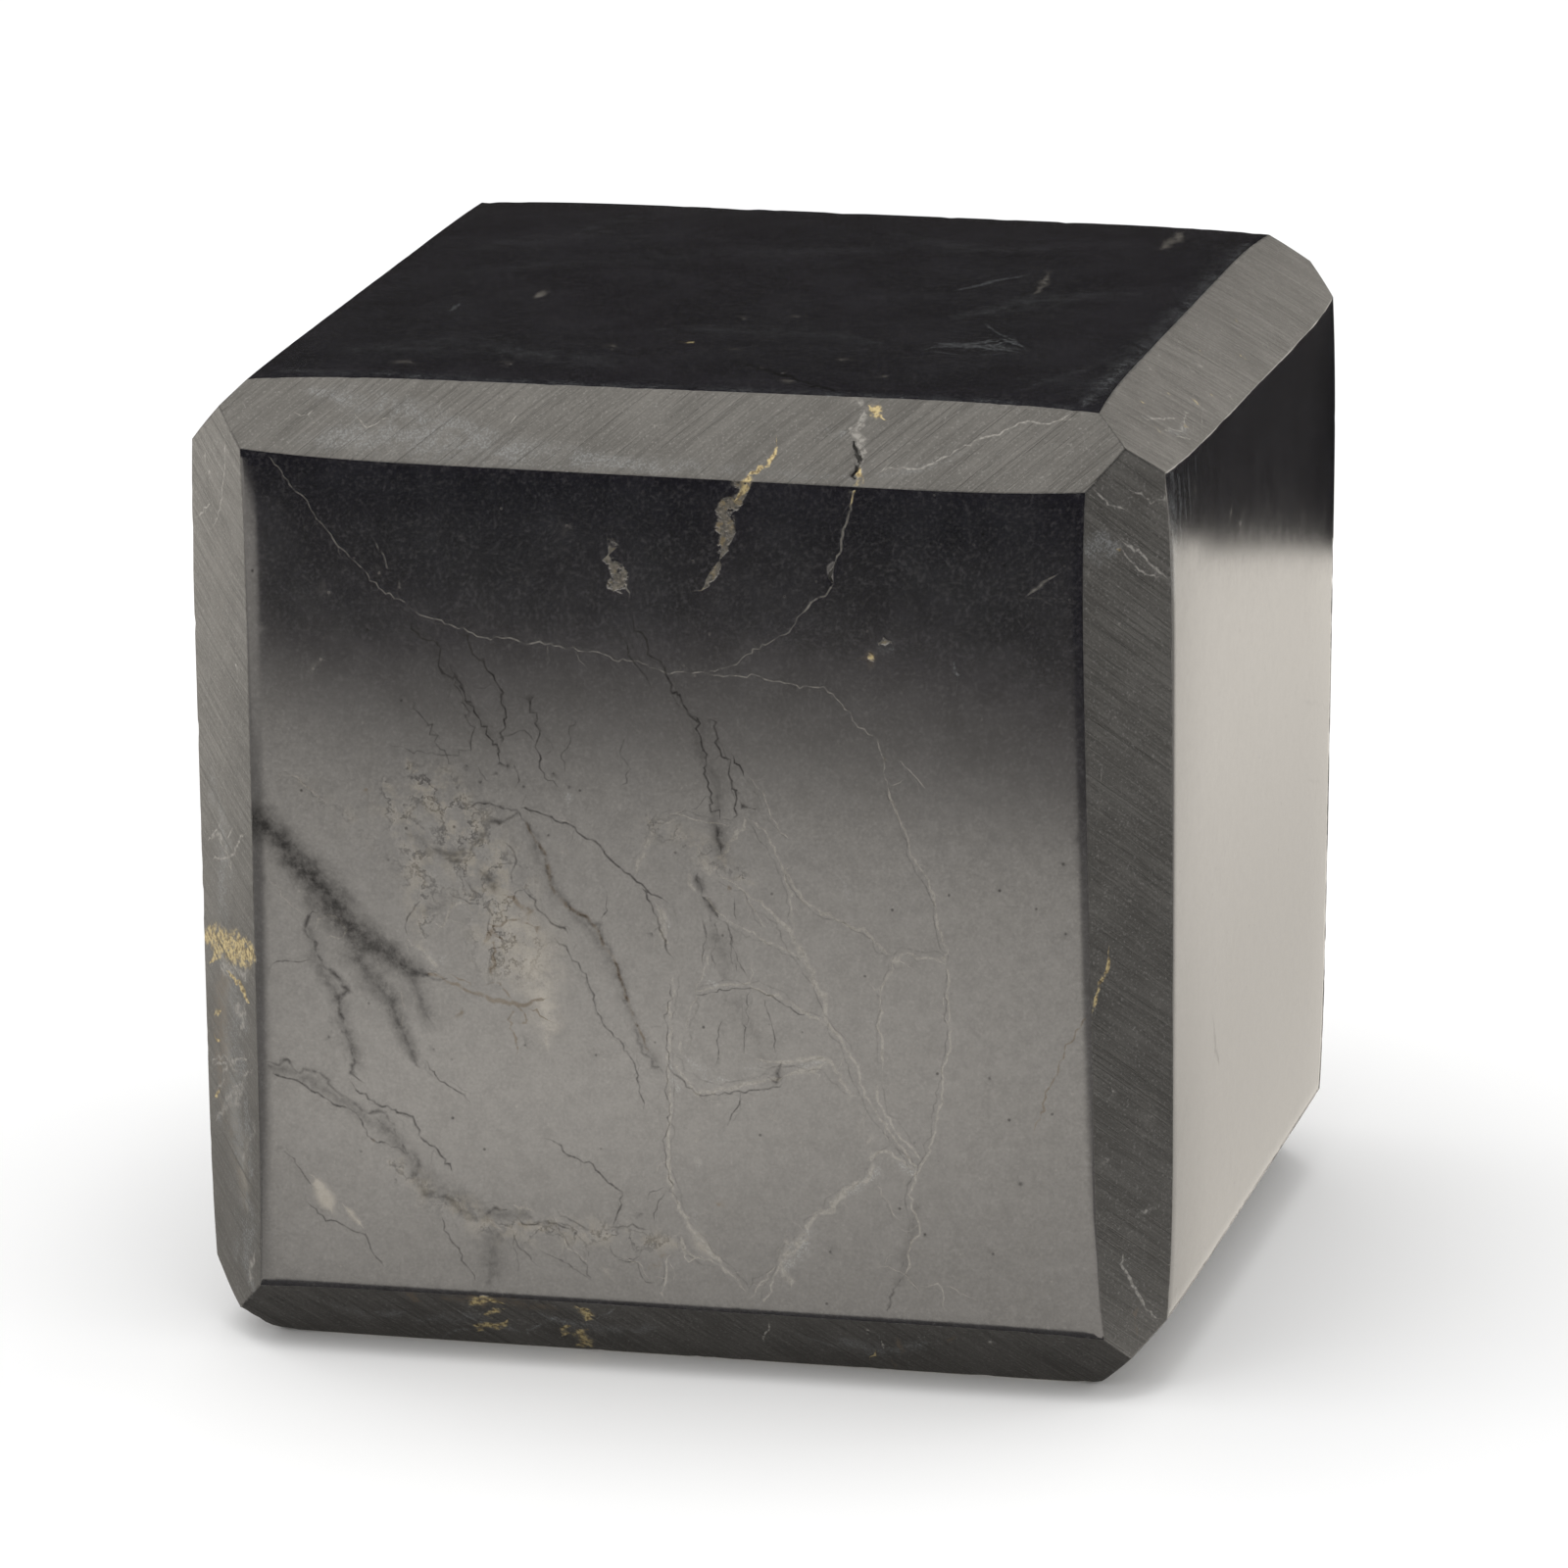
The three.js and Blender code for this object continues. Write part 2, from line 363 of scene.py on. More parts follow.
# Front face
MARKS["F"] += [
    line("pale", 0.12, "-19.5,46.1 -18.7,45 -18,44.3 -17.4,43.6 -16.7,42.5 -16,41.8 -15.1,41 -14.5,40.3 "
         "-13.7,39.6 -13,39.3 -12.1,38.6 -11,38.2 -10.2,38 -9.4,37.65 -8,37.5 -6.4,37.35 -5,37.2 -3,37.05 "
         "-1.4,36.85 0.2,36.3 1.8,36.15 3.6,36.4 5.8,36.1 7,35.8 8,35.9 9,35.2 10,34 10.8,33.4 11.2,32.6 "
         "11.4,31", 0.5),
    line("pale", 0.17, "11.4,31 11.5,30.7 12,29.4 12.4,28.3 12.9,27.05 13.4,26.1 13.7,25.1 14.07,23.7 "
         "14.28,22.3 14.4,19.9 14.3,17.9 13.9,15.9 13.6,13.9 13,12.1 12.7,11.5 12.4,10.7 12.3,9.7 12.7,8.9 "
         "12.4,7.9 12.1,7.3 12,6.3", 0.95),
    line("pale", 0.1, "11.9,32.4 12.6,31.6 13.3,31", 0.6),
    line("dark", 0.2, "12,6.3 11.4,5.5 11,4.3", 0.7),
    spots("brown", 0.35, "11.2,32.4"),
    line("pale", (0.25, 0.12), "9.9,46.4 9.75,45.6 9.5,44.8 9.3,44 9.1,43 8.9,42.2", 0.7),
    line("gold", (0.25, 0.08), "9.95,46.4 9.8,45.6 9.6,44.9", 0.8),
    line("pit", 0.22, "8.85,42 8.7,41.5 8.75,41.1"),
    line("pale", 0.14, "8.8,41.1 8.5,40.8 8,40.4 7.5,39.9 7.1,39.4", 0.8),
    line("pale", 0.1, "7.1,39.4 6.6,38.6 5.8,38.1 4.9,37.6 4,37 3.2,36.5 2.4,36.2", 0.45),
    line("gold", (0.7, 0.5, 0.2), "5,46.4 4.6,45.7 4.1,45.2 3.9,44.9", 0.9),
    line("crumb", (0.8, 0.6, 0.5, 1.0, 1.1, 0.7, 0.4), "5,46.3 4.5,45.7 4,45.1 3.6,44.6 3.4,43.8 3.3,43 "
         "3.2,42.1", 1.0, 0.1),
    line("crumb", (0.15, 0.55, 0.4, 0.1), "3.15,42 2.85,41.3 2.55,40.9 2.2,40.4"),
    spots("gold", 0.4, "10.6,37.5"),
    spots("brown", 0.8, "10.6,37.5", 0.7),
    line("crumb", (0.35, 0.6, 0.4), "11.05,38.2 11.3,38.4 11.6,38.3", 0.8, 0.03),
    line("haze", (0.4, 0.8, 0.4), "10.7,37.6 11.3,37.9 11.9,38", 0.5),
    line("haze", 0.35, "14.7,37.4 14.9,36.6", 0.6),
    line("pale", (0.06, 0.36, 0.06), "18.2,40.8 19,41.4 19.8,42", 0.55, 0.02),
    line("crumb", (0.3, 1.0, 1.1, 0.5), "-2.4,42 -2.3,41.5 -2.1,40.9 -2.2,40.2", 1.0, 0.12),
    line("crumb", (0.2, 0.6, 0.3), "-2,41.4 -1.75,40.9 -1.7,40.3", 0.8, 0.1),
    line("pale", 0.12, "-1.6,40.7 -1.5,40.3 -1.4,39.9", 0.6),
    line("pale", 0.14, "-14.2,42.1 -13.8,41.3 -13.5,40.7", 0.4),
    spots("pale", 0.22, "-14,40.5 -13,39.85 -7.8,44 -16.6,39.4 -4.5,43.3 -17.1,36 -17.5,35.5", 0.6),
    line("dark", 0.16, "-12.4,38.2 -11.8,37.5 -11.4,36.9 -11.3,36.3 -10.8,36 -10.4,35.4 -9.9,34.8 "
         "-9.4,34.2 -9,33.6 -8.6,32.8 -8.3,32 -8.1,31.3", 1.2, 0.1),
    line("dark", 0.16, "-9.9,37.6 -9.7,37.1 -9.3,36.6 -8.9,36.2 -8.5,35.6 -8.2,35 -8.1,34.4 -7.8,33.9 "
         "-7.7,33.4 -8.1,32.5", 1.2, 0.1),
    line("dark", 0.14, "-6.6,34.4 -6.3,33.8 -6.2,33.1 -6.1,32.3 -5.9,31.6 -6,31", 1.1, 0.09),
    line("dark", 0.17, "-1.2,38.6 -1,38 -0.6,37.5 0,36.4 0.5,35.6 0.9,35.2 1.2,34.8 1.5,34.2 2.1,33.5 "
         "2.33,32.2 2.1,31.2 2.4,30.2 2.7,29.4 2.96,29", 1.2, 0.1),
    line("dark", 0.15, "2.6,34 3.1,32.7 3.5,32 3.65,31.1 3.8,30.1 3.65,29.1", 1.1, 0.09),
    line("dark", 0.14, "3.7,32.2 3.9,31.85 4.2,31.2", 1.4),
    line("dark", 0.12, "-1.7,37.8 -1.4,37 -0.9,36.3 -0.4,35.5", 1.1),
    line("dark", (0.25, 0.4, 0.2), "4,29.9 4.3,29.75 4.6,29.6"),
    line("pale", 0.12, "4.4,31.2 5.1,30.3 5.5,29.4 6.4,28.2", 0.7),
    line("pale", 0.2, "4.55,29 5.3,28.2 5.67,27.6 5.94,26.9 6.2,26.1 6.5,25.25 6.6,24.3 6.64,23.65", 0.8),
    line("pale", 0.22, "6.2,26.6 6.57,25.8 7.2,25 8.17,24.35 9,24.07 10.1,23.8 10.8,23.2 11.4,22.6", 0.9),
    spots("pale", 0.5, "11.7,22.3"),
    line("pale", 0.2, "11.5,22.1 11.4,21.6 10.95,20.8 10.96,19.7 10.8,18.9 11,17.5 10.96,16.9", 0.8),
    line("pale", 0.18, "11.7,22.3 12,22.75 12.3,22.9 12.75,22.5 13.6,22.6 14.1,22.3", 0.9),
    line("pale", (0.14, 0.2, 0.5, 0.3, 0.2, 0.15, 0.2), "2.96,26.2 3.86,25.7 4.55,25.1 5.3,24.55 6,23.86 "
         "6.6,23.1 7.05,22.3 7.6,21.1 8.1,19.9 8.4,18.9 9,18.1 9.4,17.3 9.8,16.1 10.2,15.1 10.8,14.3 "
         "11.4,13.5 12,12.7 12.6,11.7", 0.9),
    line("pale", 0.22, "1.6,20.2 2.4,20.4 3.4,20.6 4.3,20.75 5.2,20.5 6,20 7,19.5 8,19 8.8,18.3 "
         "9.3,17.5", 0.8),
    line("dark", 0.14, "1.6,20 2.4,20.2 3.4,20.4 4.3,20.55 5.2,20.3 6,19.8 7,19.3", 0.8),
    line("pale", (0.12, 0.45, 0.2), "4.6,16.9 6,16.9 8,17.05 8.4,16.7 9,15.9 9.6,15.3", 0.9),
    line("pale", (0.15, 0.5, 0.2), "6,16.1 7.2,16.5 8.2,16.9", 0.8),
    line("pale", 0.2, "10.7,15.9 10.8,15.1 11.4,14 12,13.2 12.8,12.3", 0.8),
    line("pale", 0.18, "2.2,25 2.8,24.3 3.6,23.65 4.55,23.3 5.3,23 6.2,22.5 7,22", 0.8),
    line("pale", 0.12, "4.35,25 4.8,24.3 5.2,23.65", 0.7),
    line("pale", 0.14, "0.3,29 1.2,29.1 2.3,28.9 3.6,28.7", 0.8),
    line("pale", (0.15, 0.3, 0.55, 0.2), "4.2,29.1 4.1,28.6 3.6,28.1 3.2,27.7 3,27.1", 0.8, 0.08),
    line("pale", (0.3, 0.7, 0.5), "1.85,26.7 2.3,26.6 2.85,26.6", 1.0, 0.1),
    line("pale", (0.1, 0.6, 0.7, 0.3, 0.12), "-1.2,26.3 -0.6,27.4 -0.3,28 0.2,28.5 0.8,28.9", 0.6, 0.1),
    line("pale", (0.2, 0.45, 0.2), "1.3,26.4 1.45,25.8 1.7,25.2", 0.5, 0.1),
    line("smudge", (0.4, 0.9, 0.5), "1.8,26.2 2,25.7 2,25.2", 0.7),
    line("smudge", (0.5, 0.8, 0.4), "2,25 2.4,24.5 2.8,24", 0.8),
    line("smudge", (0.5, 0.8, 0.5), "2.8,28.6 2.9,28 3,27.4", 0.9),
    line("smudge", (0.6, 1.6, 2.4, 2), "2.4,24 2.8,22.8 3.2,21.6 3,20.8", 0.4),
    line("dark", 0.16, "2,23.9 2.2,23.2 2.1,22.4 2,21.6", 0.7),
    line("dark", 0.16, "2.7,23.8 2.7,22.9 2.5,22.2 2.6,21.4", 0.7),
    line("dark", 0.14, "3.1,23.8 3.4,22.8 3.4,22 3.7,21.3", 0.7),
    line("pale", 0.18, "2.4,22.4 2.2,21.5 2,20.8 1.6,20.2", 0.5),
    line("pale", 0.16, "1.6,20.2 1.4,19.5 1.2,19 1,18.3 0.9,17.6 0.8,17", 0.5),
    line("pale", 0.16, "4.3,20.8 4.6,21.2 4.4,21.6", 0.6),
    line("dark", 0.2, "1.6,20.1 1.7,19.3 1.3,18.4 1.3,17.4", 0.4),
    line("dark", 0.12, "4.35,20.3 4.3,19.4 4.15,18.6", 0.7),
    line("dark", 0.2, "-1,25.25 -0.6,24.4 -0.2,23.7 0.04,22.9 0.4,22.2 0.5,21.8", 0.9),
    line("pale", (0.3, 0.7, 0.2), "-0.3,24.5 0.05,23.5 0.3,22.5", 0.7, 0.1),
    line("pale", (0.2, 0.24, 0.34, 0.26), "0.5,20.9 0.44,20.1 0.2,17.9 0.24,16.7 0.2,15.1 0.2,13.9 "
         "0.1,12.7 0,11.5 0.2,10.3 0.7,8.9 1.2,7.9 2.2,6.7 3,5.8 3.8,4.9", 0.8),
    line("dark", 0.13, "0.3,20.5 0.05,17.9 0.1,16.5 0.05,15 0.05,13.5 -0.05,12 0.05,10.6 0.5,9.2", 0.8),
    spots("pale", 0.5, "0.2,10.3"),
    line("pale", (0.2, 0.36, 0.26), "0.2,16.7 0.8,15.9 1.8,15.1 3,15.3 3.9,15.5 5,15.7 5.9,16", 0.8),
    line("dark", 0.18, "0.1,16.4 0.8,15.6 1.8,14.8 3,15 3.9,15.2 5,15.4 5.9,15.7", 0.8),
    line("pale", 0.2, "0.7,7.5 0.8,6.7 2,6.3 3,5.8", 0.7),
    line("pale", (0.16, 0.25, 0.5, 0.3), "12.7,11.5 12,12.1 11.4,12.4 10.6,12.3 10.4,11.5 9.9,10.8 9,10.3 "
         "8.3,9.7 8.1,9.1 7.5,8.9 7.1,8.2", 0.85, 0.08),
    line("pale", (0.25, 0.9, 0.4), "7.1,8.1 6.2,7 5.9,6.2 6.2,5.2", 0.55, 0.1),
    line("pale", 0.18, "7.1,8 5.9,6.9 4.8,4.3", 0.8),
    line("pale", 0.12, "5.4,6.2 4.4,5.1 4.1,4.5", 0.8),
    line("pale", 0.12, "10.6,10.8 11.1,10.1 11.7,9.1", 0.7),
    line("pale", 0.1, "10.8,6.6 12,6.1 12.7,5.4", 0.6),
    line("pale", 0.1, "12.8,5.7 13.8,5.7 14,4.5", 0.6),
    line("pale", 0.1, "14.2,5.8 15.4,5.2", 0.6),
    line("dark", 0.12, "4,19.7 4.05,18.5 4,17.1", 0.8),
    line("dark", 0.14, "5.1,19.9 5.4,18.5 5.6,17.3", 0.8),
    line("dark", 0.14, "2.9,18.7 2.75,17.8 2.7,16.9", 0.8),
    line("dark", (0.4, 0.7, 0.4), "5.9,16.8 5.6,16.3 5.2,16", 0.8, 0.1),
    line("dark", 0.13, "3.8,15.1 3.7,14.3 3.1,13.4", 0.8),
    line("dark", 0.15, "3.65,25.1 3.7,24", 0.8),
    line("dark", 0.15, "3.3,23.7 3.8,22.2 4.2,21.1", 0.8),
    line("dark", 0.12, "2.1,23.7 2.2,22.75", 0.8),
    line("dark", (0.5, 0.9, 0.3), "2.9,28.6 3,28 3.1,27.5", 0.7),
    spots("brown", 0.4, "3.4,25.5"),
    line("brown", 0.14, "21.2,20.1 20.2,18.3 19.6,17 19,16 18.7,14.9 18.5,14.1", 0.9),
    line("brown", (0.2, 0.4, 0.4, 0.35, 0.3, 0.2), "-7,28.4 -6.4,27.6 -5.9,26.6 -5.7,25.7 -5.4,24.8 "
         "-4.7,24.1 -4,23.7 -3.4,23.2 -2.9,22.1 -2.3,21.1 -2,19.9 -1.6,18.7 -1.1,17.7 -0.8,17", 0.6, 0.04),
    line("dark", (0.35, 0.6, 0.6, 0.5, 0.5, 0.4), "-7.05,28.5 -6.4,27.6 -5.9,26.6 -5.7,25.7 -5.4,24.8 "
         "-4.7,24.1 -4,23.7 -3.4,23.2 -2.9,22.1 -2.3,21.1 -2,19.9 -1.6,18.7 -1.1,17.7 -0.8,17 "
         "-0.1,15.9", 0.62, 0.1),
    line("dark", 0.2, "-9.9,28.8 -9.2,29.15 -8.3,29.1 -7.1,28.9 -7.05,28.5", 0.8),
    line("dark", (0.3, 0.5, 0.3), "-7.2,28.8 -8,28.3 -8.7,28 -9,27.5 -9.6,27.2 -9.9,26.6 -10.3,26.2 "
         "-11,26.2", 0.7, 0.12),
    line("smudge", (0.6, 1.5, 1), "-11.6,26.7 -10.6,26.5 -10,26.8", 0.6),
    line("smudge", (0.7, 1.5, 0.7), "-9.2,25.7 -8.7,25.1 -8.5,24.7", 0.7),
    line("smudge", (0.6, 1.3, 0.6), "-12.5,23.4 -11.8,23.6 -11.2,23.8", 0.45),
    line("smudge", (1, 1.8, 1.6, 1), "-10.4,30 -8.2,30.4 -6,30.2 -4.2,30", 0.2),
    line("smudge", (0.6, 1.4, 0.6), "-13,27.4 -12.1,27.2 -11.6,26.2", 0.4),
    line("dark", 0.2, "-10,25.2 -9.6,24.6 -9,24.3 -8.8,23.6 -8.9,22.9 -8.7,22.4", 0.7),
    line("dark", 0.16, "-7.9,27.2 -7.6,26.8 -7.4,26.3 -7.5,25.7 -7.6,25.2", 0.8),
    line("brown", (0.2, 0.6, 0.4), "-7.9,24.5 -7.5,24.3 -7.1,23.9 -7.3,23.3", 1.0, 0.1),
    line("brown", 0.2, "-8.8,23 -8.2,22.9 -7.9,23.2 -7.3,23.3 -6.9,23.1 -6.5,23", 0.9),
    line("brown", (0.4, 0.7, 0.4), "-8.9,22.6 -8.5,22.5 -8.2,22.3", 1.0, 0.12),
    line("brown", (0.2, 0.35, 0.3), "-8.6,22 -8.5,21.3 -8.8,20.7 -8.7,20.2", 1.0),
    line("brown", 0.2, "-9,19.9 -8.3,20 -8,19.5 -7.6,19", 0.8),
    line("brown", 0.14, "-11,20.3 -10.2,20.1 -9.8,19.8", 0.8),
    line("brown", 0.12, "-7.3,22.7 -7.5,22.2", 0.8),
    line("dark", 0.16, "-10.7,24.4 -10,24.2 -9.6,24 -9.2,24", 0.7),
    line("dark", 0.16, "-12.3,24 -12.8,23.5 -13.1,22.8 -13,22.2", 0.7),
    line("pale", (0.15, 0.4, 0.15), "-11.8,29.4 -11.4,28.8 -10.7,27.9 -10.4,27.2", 0.7, 0.08),
    line("pale", 0.18, "-9.9,29.7 -10,29 -9.9,28.6", 0.6),
    line("pale", 0.22, "-11.6,22.9 -11.2,22.7 -11,23.1 -10.8,23.5 -10.6,24 -10.1,24", 0.9, 0.08),
    line("pale", (0.15, 0.5, 0.3), "-13,22 -12.6,21.7 -12.2,21.3 -11.9,20.7 -11.4,20.5", 0.7, 0.08),
    line("pale", (0.2, 0.7, 0.2), "-13.1,29.4 -12.8,29.7", 0.4, 0.1),
    line("haze", (0.8, 1.5, 0.8), "-12.2,21.4 -11.6,21 -11.1,21.2", 0.5),
    line("haze", (0.8, 2, 1), "-9.4,26.9 -8.7,26.4 -8.2,26.5", 0.6),
    line("haze", (0.8, 1.2, 0.6), "-8.5,24.2 -8.3,23.7 -8.5,23.3", 0.9),
    line("cream", (2.6, 5.6, 5.6, 4, 2.4), "-8.4,23.8 -7.2,22.2 -6.4,20.6 -6,18.8 -6,17.2", 0.85),
    line("haze", 0.8, "-4.7,29.9 -4.7,29.3", 0.7),
    line("haze", (1.4, 2.2, 1.4), "-11.6,25.4 -10.8,24.9", 0.4),
    line("haze", (1.2, 2.4, 2), "-12.8,28.6 -12,27.9 -11.6,26.9", 0.4),
    spots("dark", 0.3, "-8.3,30.7 -9.1,30.2 -6.9,30.1 -4.6,30.2 -5.4,30.8 -7.7,31.1 -9.8,31 -13.9,26"),
    line("dark", 0.12, "-9.2,31 -9,30.4 -8.6,30.2", 0.8),
    line("dark", 0.12, "-7.4,31.2 -7.1,30.6 -7.3,30.1", 0.8),
    line("dark", 0.12, "-6,31.8 -6.1,31 -5.8,30.4 -5.2,30.2", 0.8),
    line("dark", 0.12, "-12.4,30.7 -12.5,30.2 -12.3,29.8", 0.6),
    line("dark", 0.18, "-7.05,29 -6.2,28.8 -5.4,28.7 -4.4,28.2 -4.07,27.7 -3.4,27.4 -2.9,27 -2.2,26.4 "
         "-1.8,25.9 -1.2,25.5 -0.7,25 0,24.8"),
    line("pale", 0.12, "-5.2,28.55 -4.9,28.5 -4.5,28.35", 0.9),
    line("dark", 0.14, "-2.8,25 -3,24.3 -3.1,23.65", 0.8),
    line("dark", 0.18, "-6.9,24.7 -6.4,24.3 -5.9,23.65 -5.5,23.2 -4.8,22.75", 0.9),
    line("dark", 0.16, "-5.5,22.5 -4.9,22.1 -4.6,21.5 -4,20.7 -3.5,19.5 -3.3,18.5 -2.3,17.3 -1.8,16.7 "
         "-1.5,15.5 -1.1,14.2", 0.8),
    line("pale", 0.18, "-19.3,30 -18.5,29.8 -17.9,29.4 -17.2,28.9", 0.7),
    line("smudge", (3.2, 2.8, 2.6, 3.2, 3.4, 2.2, 1.2), "-21.6,28.2 -21,27.7 -20,27.1 -19,26.2 -18,25.1 "
         "-17.2,24 -16.2,22.8 -15.2,21.9 -14,21.1 -13,20.5 -12,20.2", 1.0),
    line("dark", (1.1, 0.9, 0.7, 0.8, 0.5, 0.3), "-21.4,28.1 -20,27.2 -18,25.4 -16.2,22.9 -14,21.1 "
         "-12,20.2", 0.5, 0.16),
    line("dark", (0.4, 0.2), "-12.5,20.4 -12,20.2 -11,20.1", 0.9),
    line("brown", (0.35, 0.25, 0.35, 0.4, 0.2), "-12,20.3 -11,20 -10.4,19.7 -9.7,19.4 -8.8,19.2 -7.9,19.1 "
         "-7.4,18.9 -6.7,19.1 -6.1,19.3"),
    line("brown", 0.12, "-6.9,18.8 -6.3,18.7 -5.8,18.2", 0.9),
    line("brown", 0.2, "-7.5,19 -7.2,18.5 -7,18.1 -7.4,18", 0.9),
    line("brown", 0.16, "-7.6,18.6 -7.9,18 -7.7,17.5 -7.4,17.1 -7.5,16.5", 0.9),
    line("smudge", (2.8, 2.6, 2.2, 1.6, 1), "-15.8,21.6 -15.4,20.7 -14.8,19.7 -14,18.7 -13.6,17.5 -13,16.5 "
         "-12.7,15.5", 0.75),
    line("dark", (0.6, 0.5, 0.3), "-15.4,20.8 -14.4,19 -13.4,17 -12.7,15.7", 0.6, 0.12),
    line("smudge", 1.6, "-13.1,20.4 -12.5,19.1 -12.1,18.1", 0.6),
    line("pale", 0.14, "-13.4,19.3 -13.2,18.5 -13.4,17.5", 0.5),
    line("dark", 0.14, "-12.3,15.9 -11.8,15.1 -11.1,14.7 -10,13.8", 0.8),
    line("dark", (0.4, 0.55, 0.55, 0.4), "-17.9,23.1 -18.2,22.5 -17.9,21.5 -17.7,20.8 -17.1,20.2 "
         "-16.3,19.9 -16.2,19.1 -17,18.7 -16.7,17.7 -16.3,16.9 -16,16.1 -15.9,15.1 -15.7,14.6", 0.85, 0.09),
    line("dark", 0.13, "-20,20.3 -19,20.5 -17.9,20.6", 0.8),
    line("pale", 0.16, "-17.8,22.1 -17.5,22.9 -16.8,23 -16.3,22.4 -16.5,21.8 -17.2,21.7", 0.55),
    line("pale", 0.1, "-20.1,24.6 -19.2,23.8 -18.3,22.9", 0.5),
    line("dark", 0.4, "-20.4,15.2 -19,14.9 -17.8,14.7 -17.2,14.3 -16.8,13.7 -16.2,13.3 -15.2,13 -14.4,12.8 "
         "-13.9,12.1 -13.4,11.3", 0.7, 0.1),
    line("dark", (0.5, 1, 0.9, 0.9, 0.5), "-13.5,11.4 -12.7,10.7 -12.6,9.7 -11.8,8.9 -11,8.3 -10,7.9 -9,8 "
         "-8.2,8.3", 0.75, 0.12),
    line("dark", 0.2, "-20.2,14.6 -19,14.4 -18.2,13.9 -17.4,13.4 -16.4,13.1 -15.6,12.5 -15.2,11.7 "
         "-14.4,11.3 -13.4,10.9", 0.9),
    line("dark", 0.2, "-16,14.3 -15,13.5 -14,13.1 -13,12.7 -12.4,11.7 -11.6,11.1 -11,10.1", 0.9),
    line("dark", 0.18, "-8,8.1 -7.2,7.5 -6,7.7 -5,7.5", 0.9),
    line("dark", 0.2, "-5.6,8.3 -5.1,8.1 -4.6,7.7 -4.2,7.6 -3.6,7.55 -3,7.7 -2.4,7.8 -1.8,7.85 -1.4,7.7 "
         "-1,7.75", 0.7),
    line("dark", 0.18, "-5.9,12.1 -5,11.5 -3.9,11.1 -3.2,10.4 -2.5,9.7 -2.4,8.9 -2.8,7.9", 0.9),
    line("dark", 0.15, "-11.6,7.7 -11.2,6.5 -10.5,5.3 -10,4.5", 0.8),
    line("dark", 0.15, "-7.9,7.5 -7.7,6.3 -6.8,5.5", 0.7),
    line("dark", 0.14, "-6.6,6.3 -5.2,5.7 -4,4.9", 0.7),
    line("smudge", 2.8, "-9,7.5 -9.1,5.9 -9.3,4.4", 0.55),
    line("smudge", (1.6, 2.2, 2, 1.4), "-14.8,12.6 -12.2,9.6 -9.4,8.1 -7,8", 0.5),
    line("smudge", 1.2, "-20.4,15 -17.8,14.2 -15,12.4", 0.5),
    line("smudge", 1.5, "-18.2,22.4 -17.6,20.6 -16.6,18.4 -15.8,15.4", 0.6),
    line("smudge", 1.1, "-6.8,28.2 -5.6,25 -2.9,22 -1.4,18 -0.3,16", 0.45),
    line("smudge", (1, 2, 1), "2.6,29.4 3,28.2 3.2,26.4", 0.5),
    line("smudge", 1.5, "3,20.2 4.4,18.4 5.2,16.6", 0.35),
    line("smudge", (0.8, 1.6, 1), "1.6,33.8 2.6,31.6 3,29.4", 0.45),
    line("smudge", 1, "-12.2,38 -10,35 -8.2,32", 0.35),
    line("smudge", 0.9, "11.4,5.5 12.1,7 12.6,10", 0.4),
    spots("brown", 0.6, "-0.7,5.9", 0.8),
    spots("brown", 0.3, "-7.6,7.6 -15,11.5 2.6,9.3 -10.3,18.4"),
    line("cream", (0.3, 1.4, 1.5, 0.5), "-18.2,9.4 -17.8,8.8 -17.5,8.2 -17.3,7.6", 1.4, 0.02),
    line("cream", (0.3, 0.7, 0.2), "-16.7,8 -16.2,7.4 -15.7,6.9", 1.5, 0.02),
    line("dark", 0.16, "-18.6,8 -17.8,7.4 -16.8,6.9 -15.8,6.5 -14.7,4.9", 0.8),
    line("dark", 0.14, "-19.8,10.7 -18.8,9.6 -18.3,8.9", 0.7),
    line("smudge", (3, 7, 7, 4), "1,21.5 4,18.5 6,15.5 8,12", 0.15),
    line("dark", 0.13, "-5.5,7.3 -5,6.5 -4.5,6 -4.2,5.6 -4,5", 0.7),
    line("dark", 0.12, "-4.7,7.3 -4.3,6.6 -4.1,6.1", 0.6),
    line("dark", 0.13, "-3,7 -3,6.4 -2.6,6.2 -2,6.2 -1.5,6.5 -1,7 -1.2,7.4 -2,7.7", 0.6),
    line("dark", 0.14, "-2.6,6.1 -1.7,6 -1.5,5.4 -1.2,5 -0.7,5", 0.7),
    line("dark", (0.2, 0.4, 0.3), "-6.9,7.7 -6.3,7.75 -5.8,7.7 -5.6,7.4 -5.3,7.3", 0.6, 0.06),
    line("dark", 0.12, "-6.9,7.3 -6.3,7.25 -5.8,7.1 -5.5,7.3", 0.6),
    line("dark", (0.3, 0.7, 0.3), "-1.9,8.5 -1.5,8.4 -1.4,8.7 -1.6,8.6", 0.5, 0.05),
    line("dark", (0.2, 0.5, 0.2), "-0.9,7.9 -0.6,7.4 -0.5,7", 0.5, 0.05),
    line("dark", 0.13, "-0.7,8.2 -0.6,8.9 -0.3,9.3 -0.1,9.8", 0.7),
    line("dark", 0.12, "-1,9.5 -0.7,9.9 -0.2,10", 0.7),
    line("dark", 0.13, "-7.7,7.4 -7.9,6.6 -7.7,5.8 -7.8,5", 0.6),
    line("pale", 0.13, "-2.2,6.2 -1.8,6.15 -1.6,6 -1.4,5.5 -1.1,5.2", 0.8),
    line("pale", 0.17, "-0.1,6.3 -0.05,5.8 -0.2,5 -0.4,4.5", 1.0),
    line("pale", 0.14, "0.6,7.6 0.8,6.9 1,6.4 1.8,6.3", 0.7),
    line("pale", 0.14, "-5.8,8.1 -5.6,7.5 -5.3,7.1 -5,6.5 -4.3,5.9", 0.6),
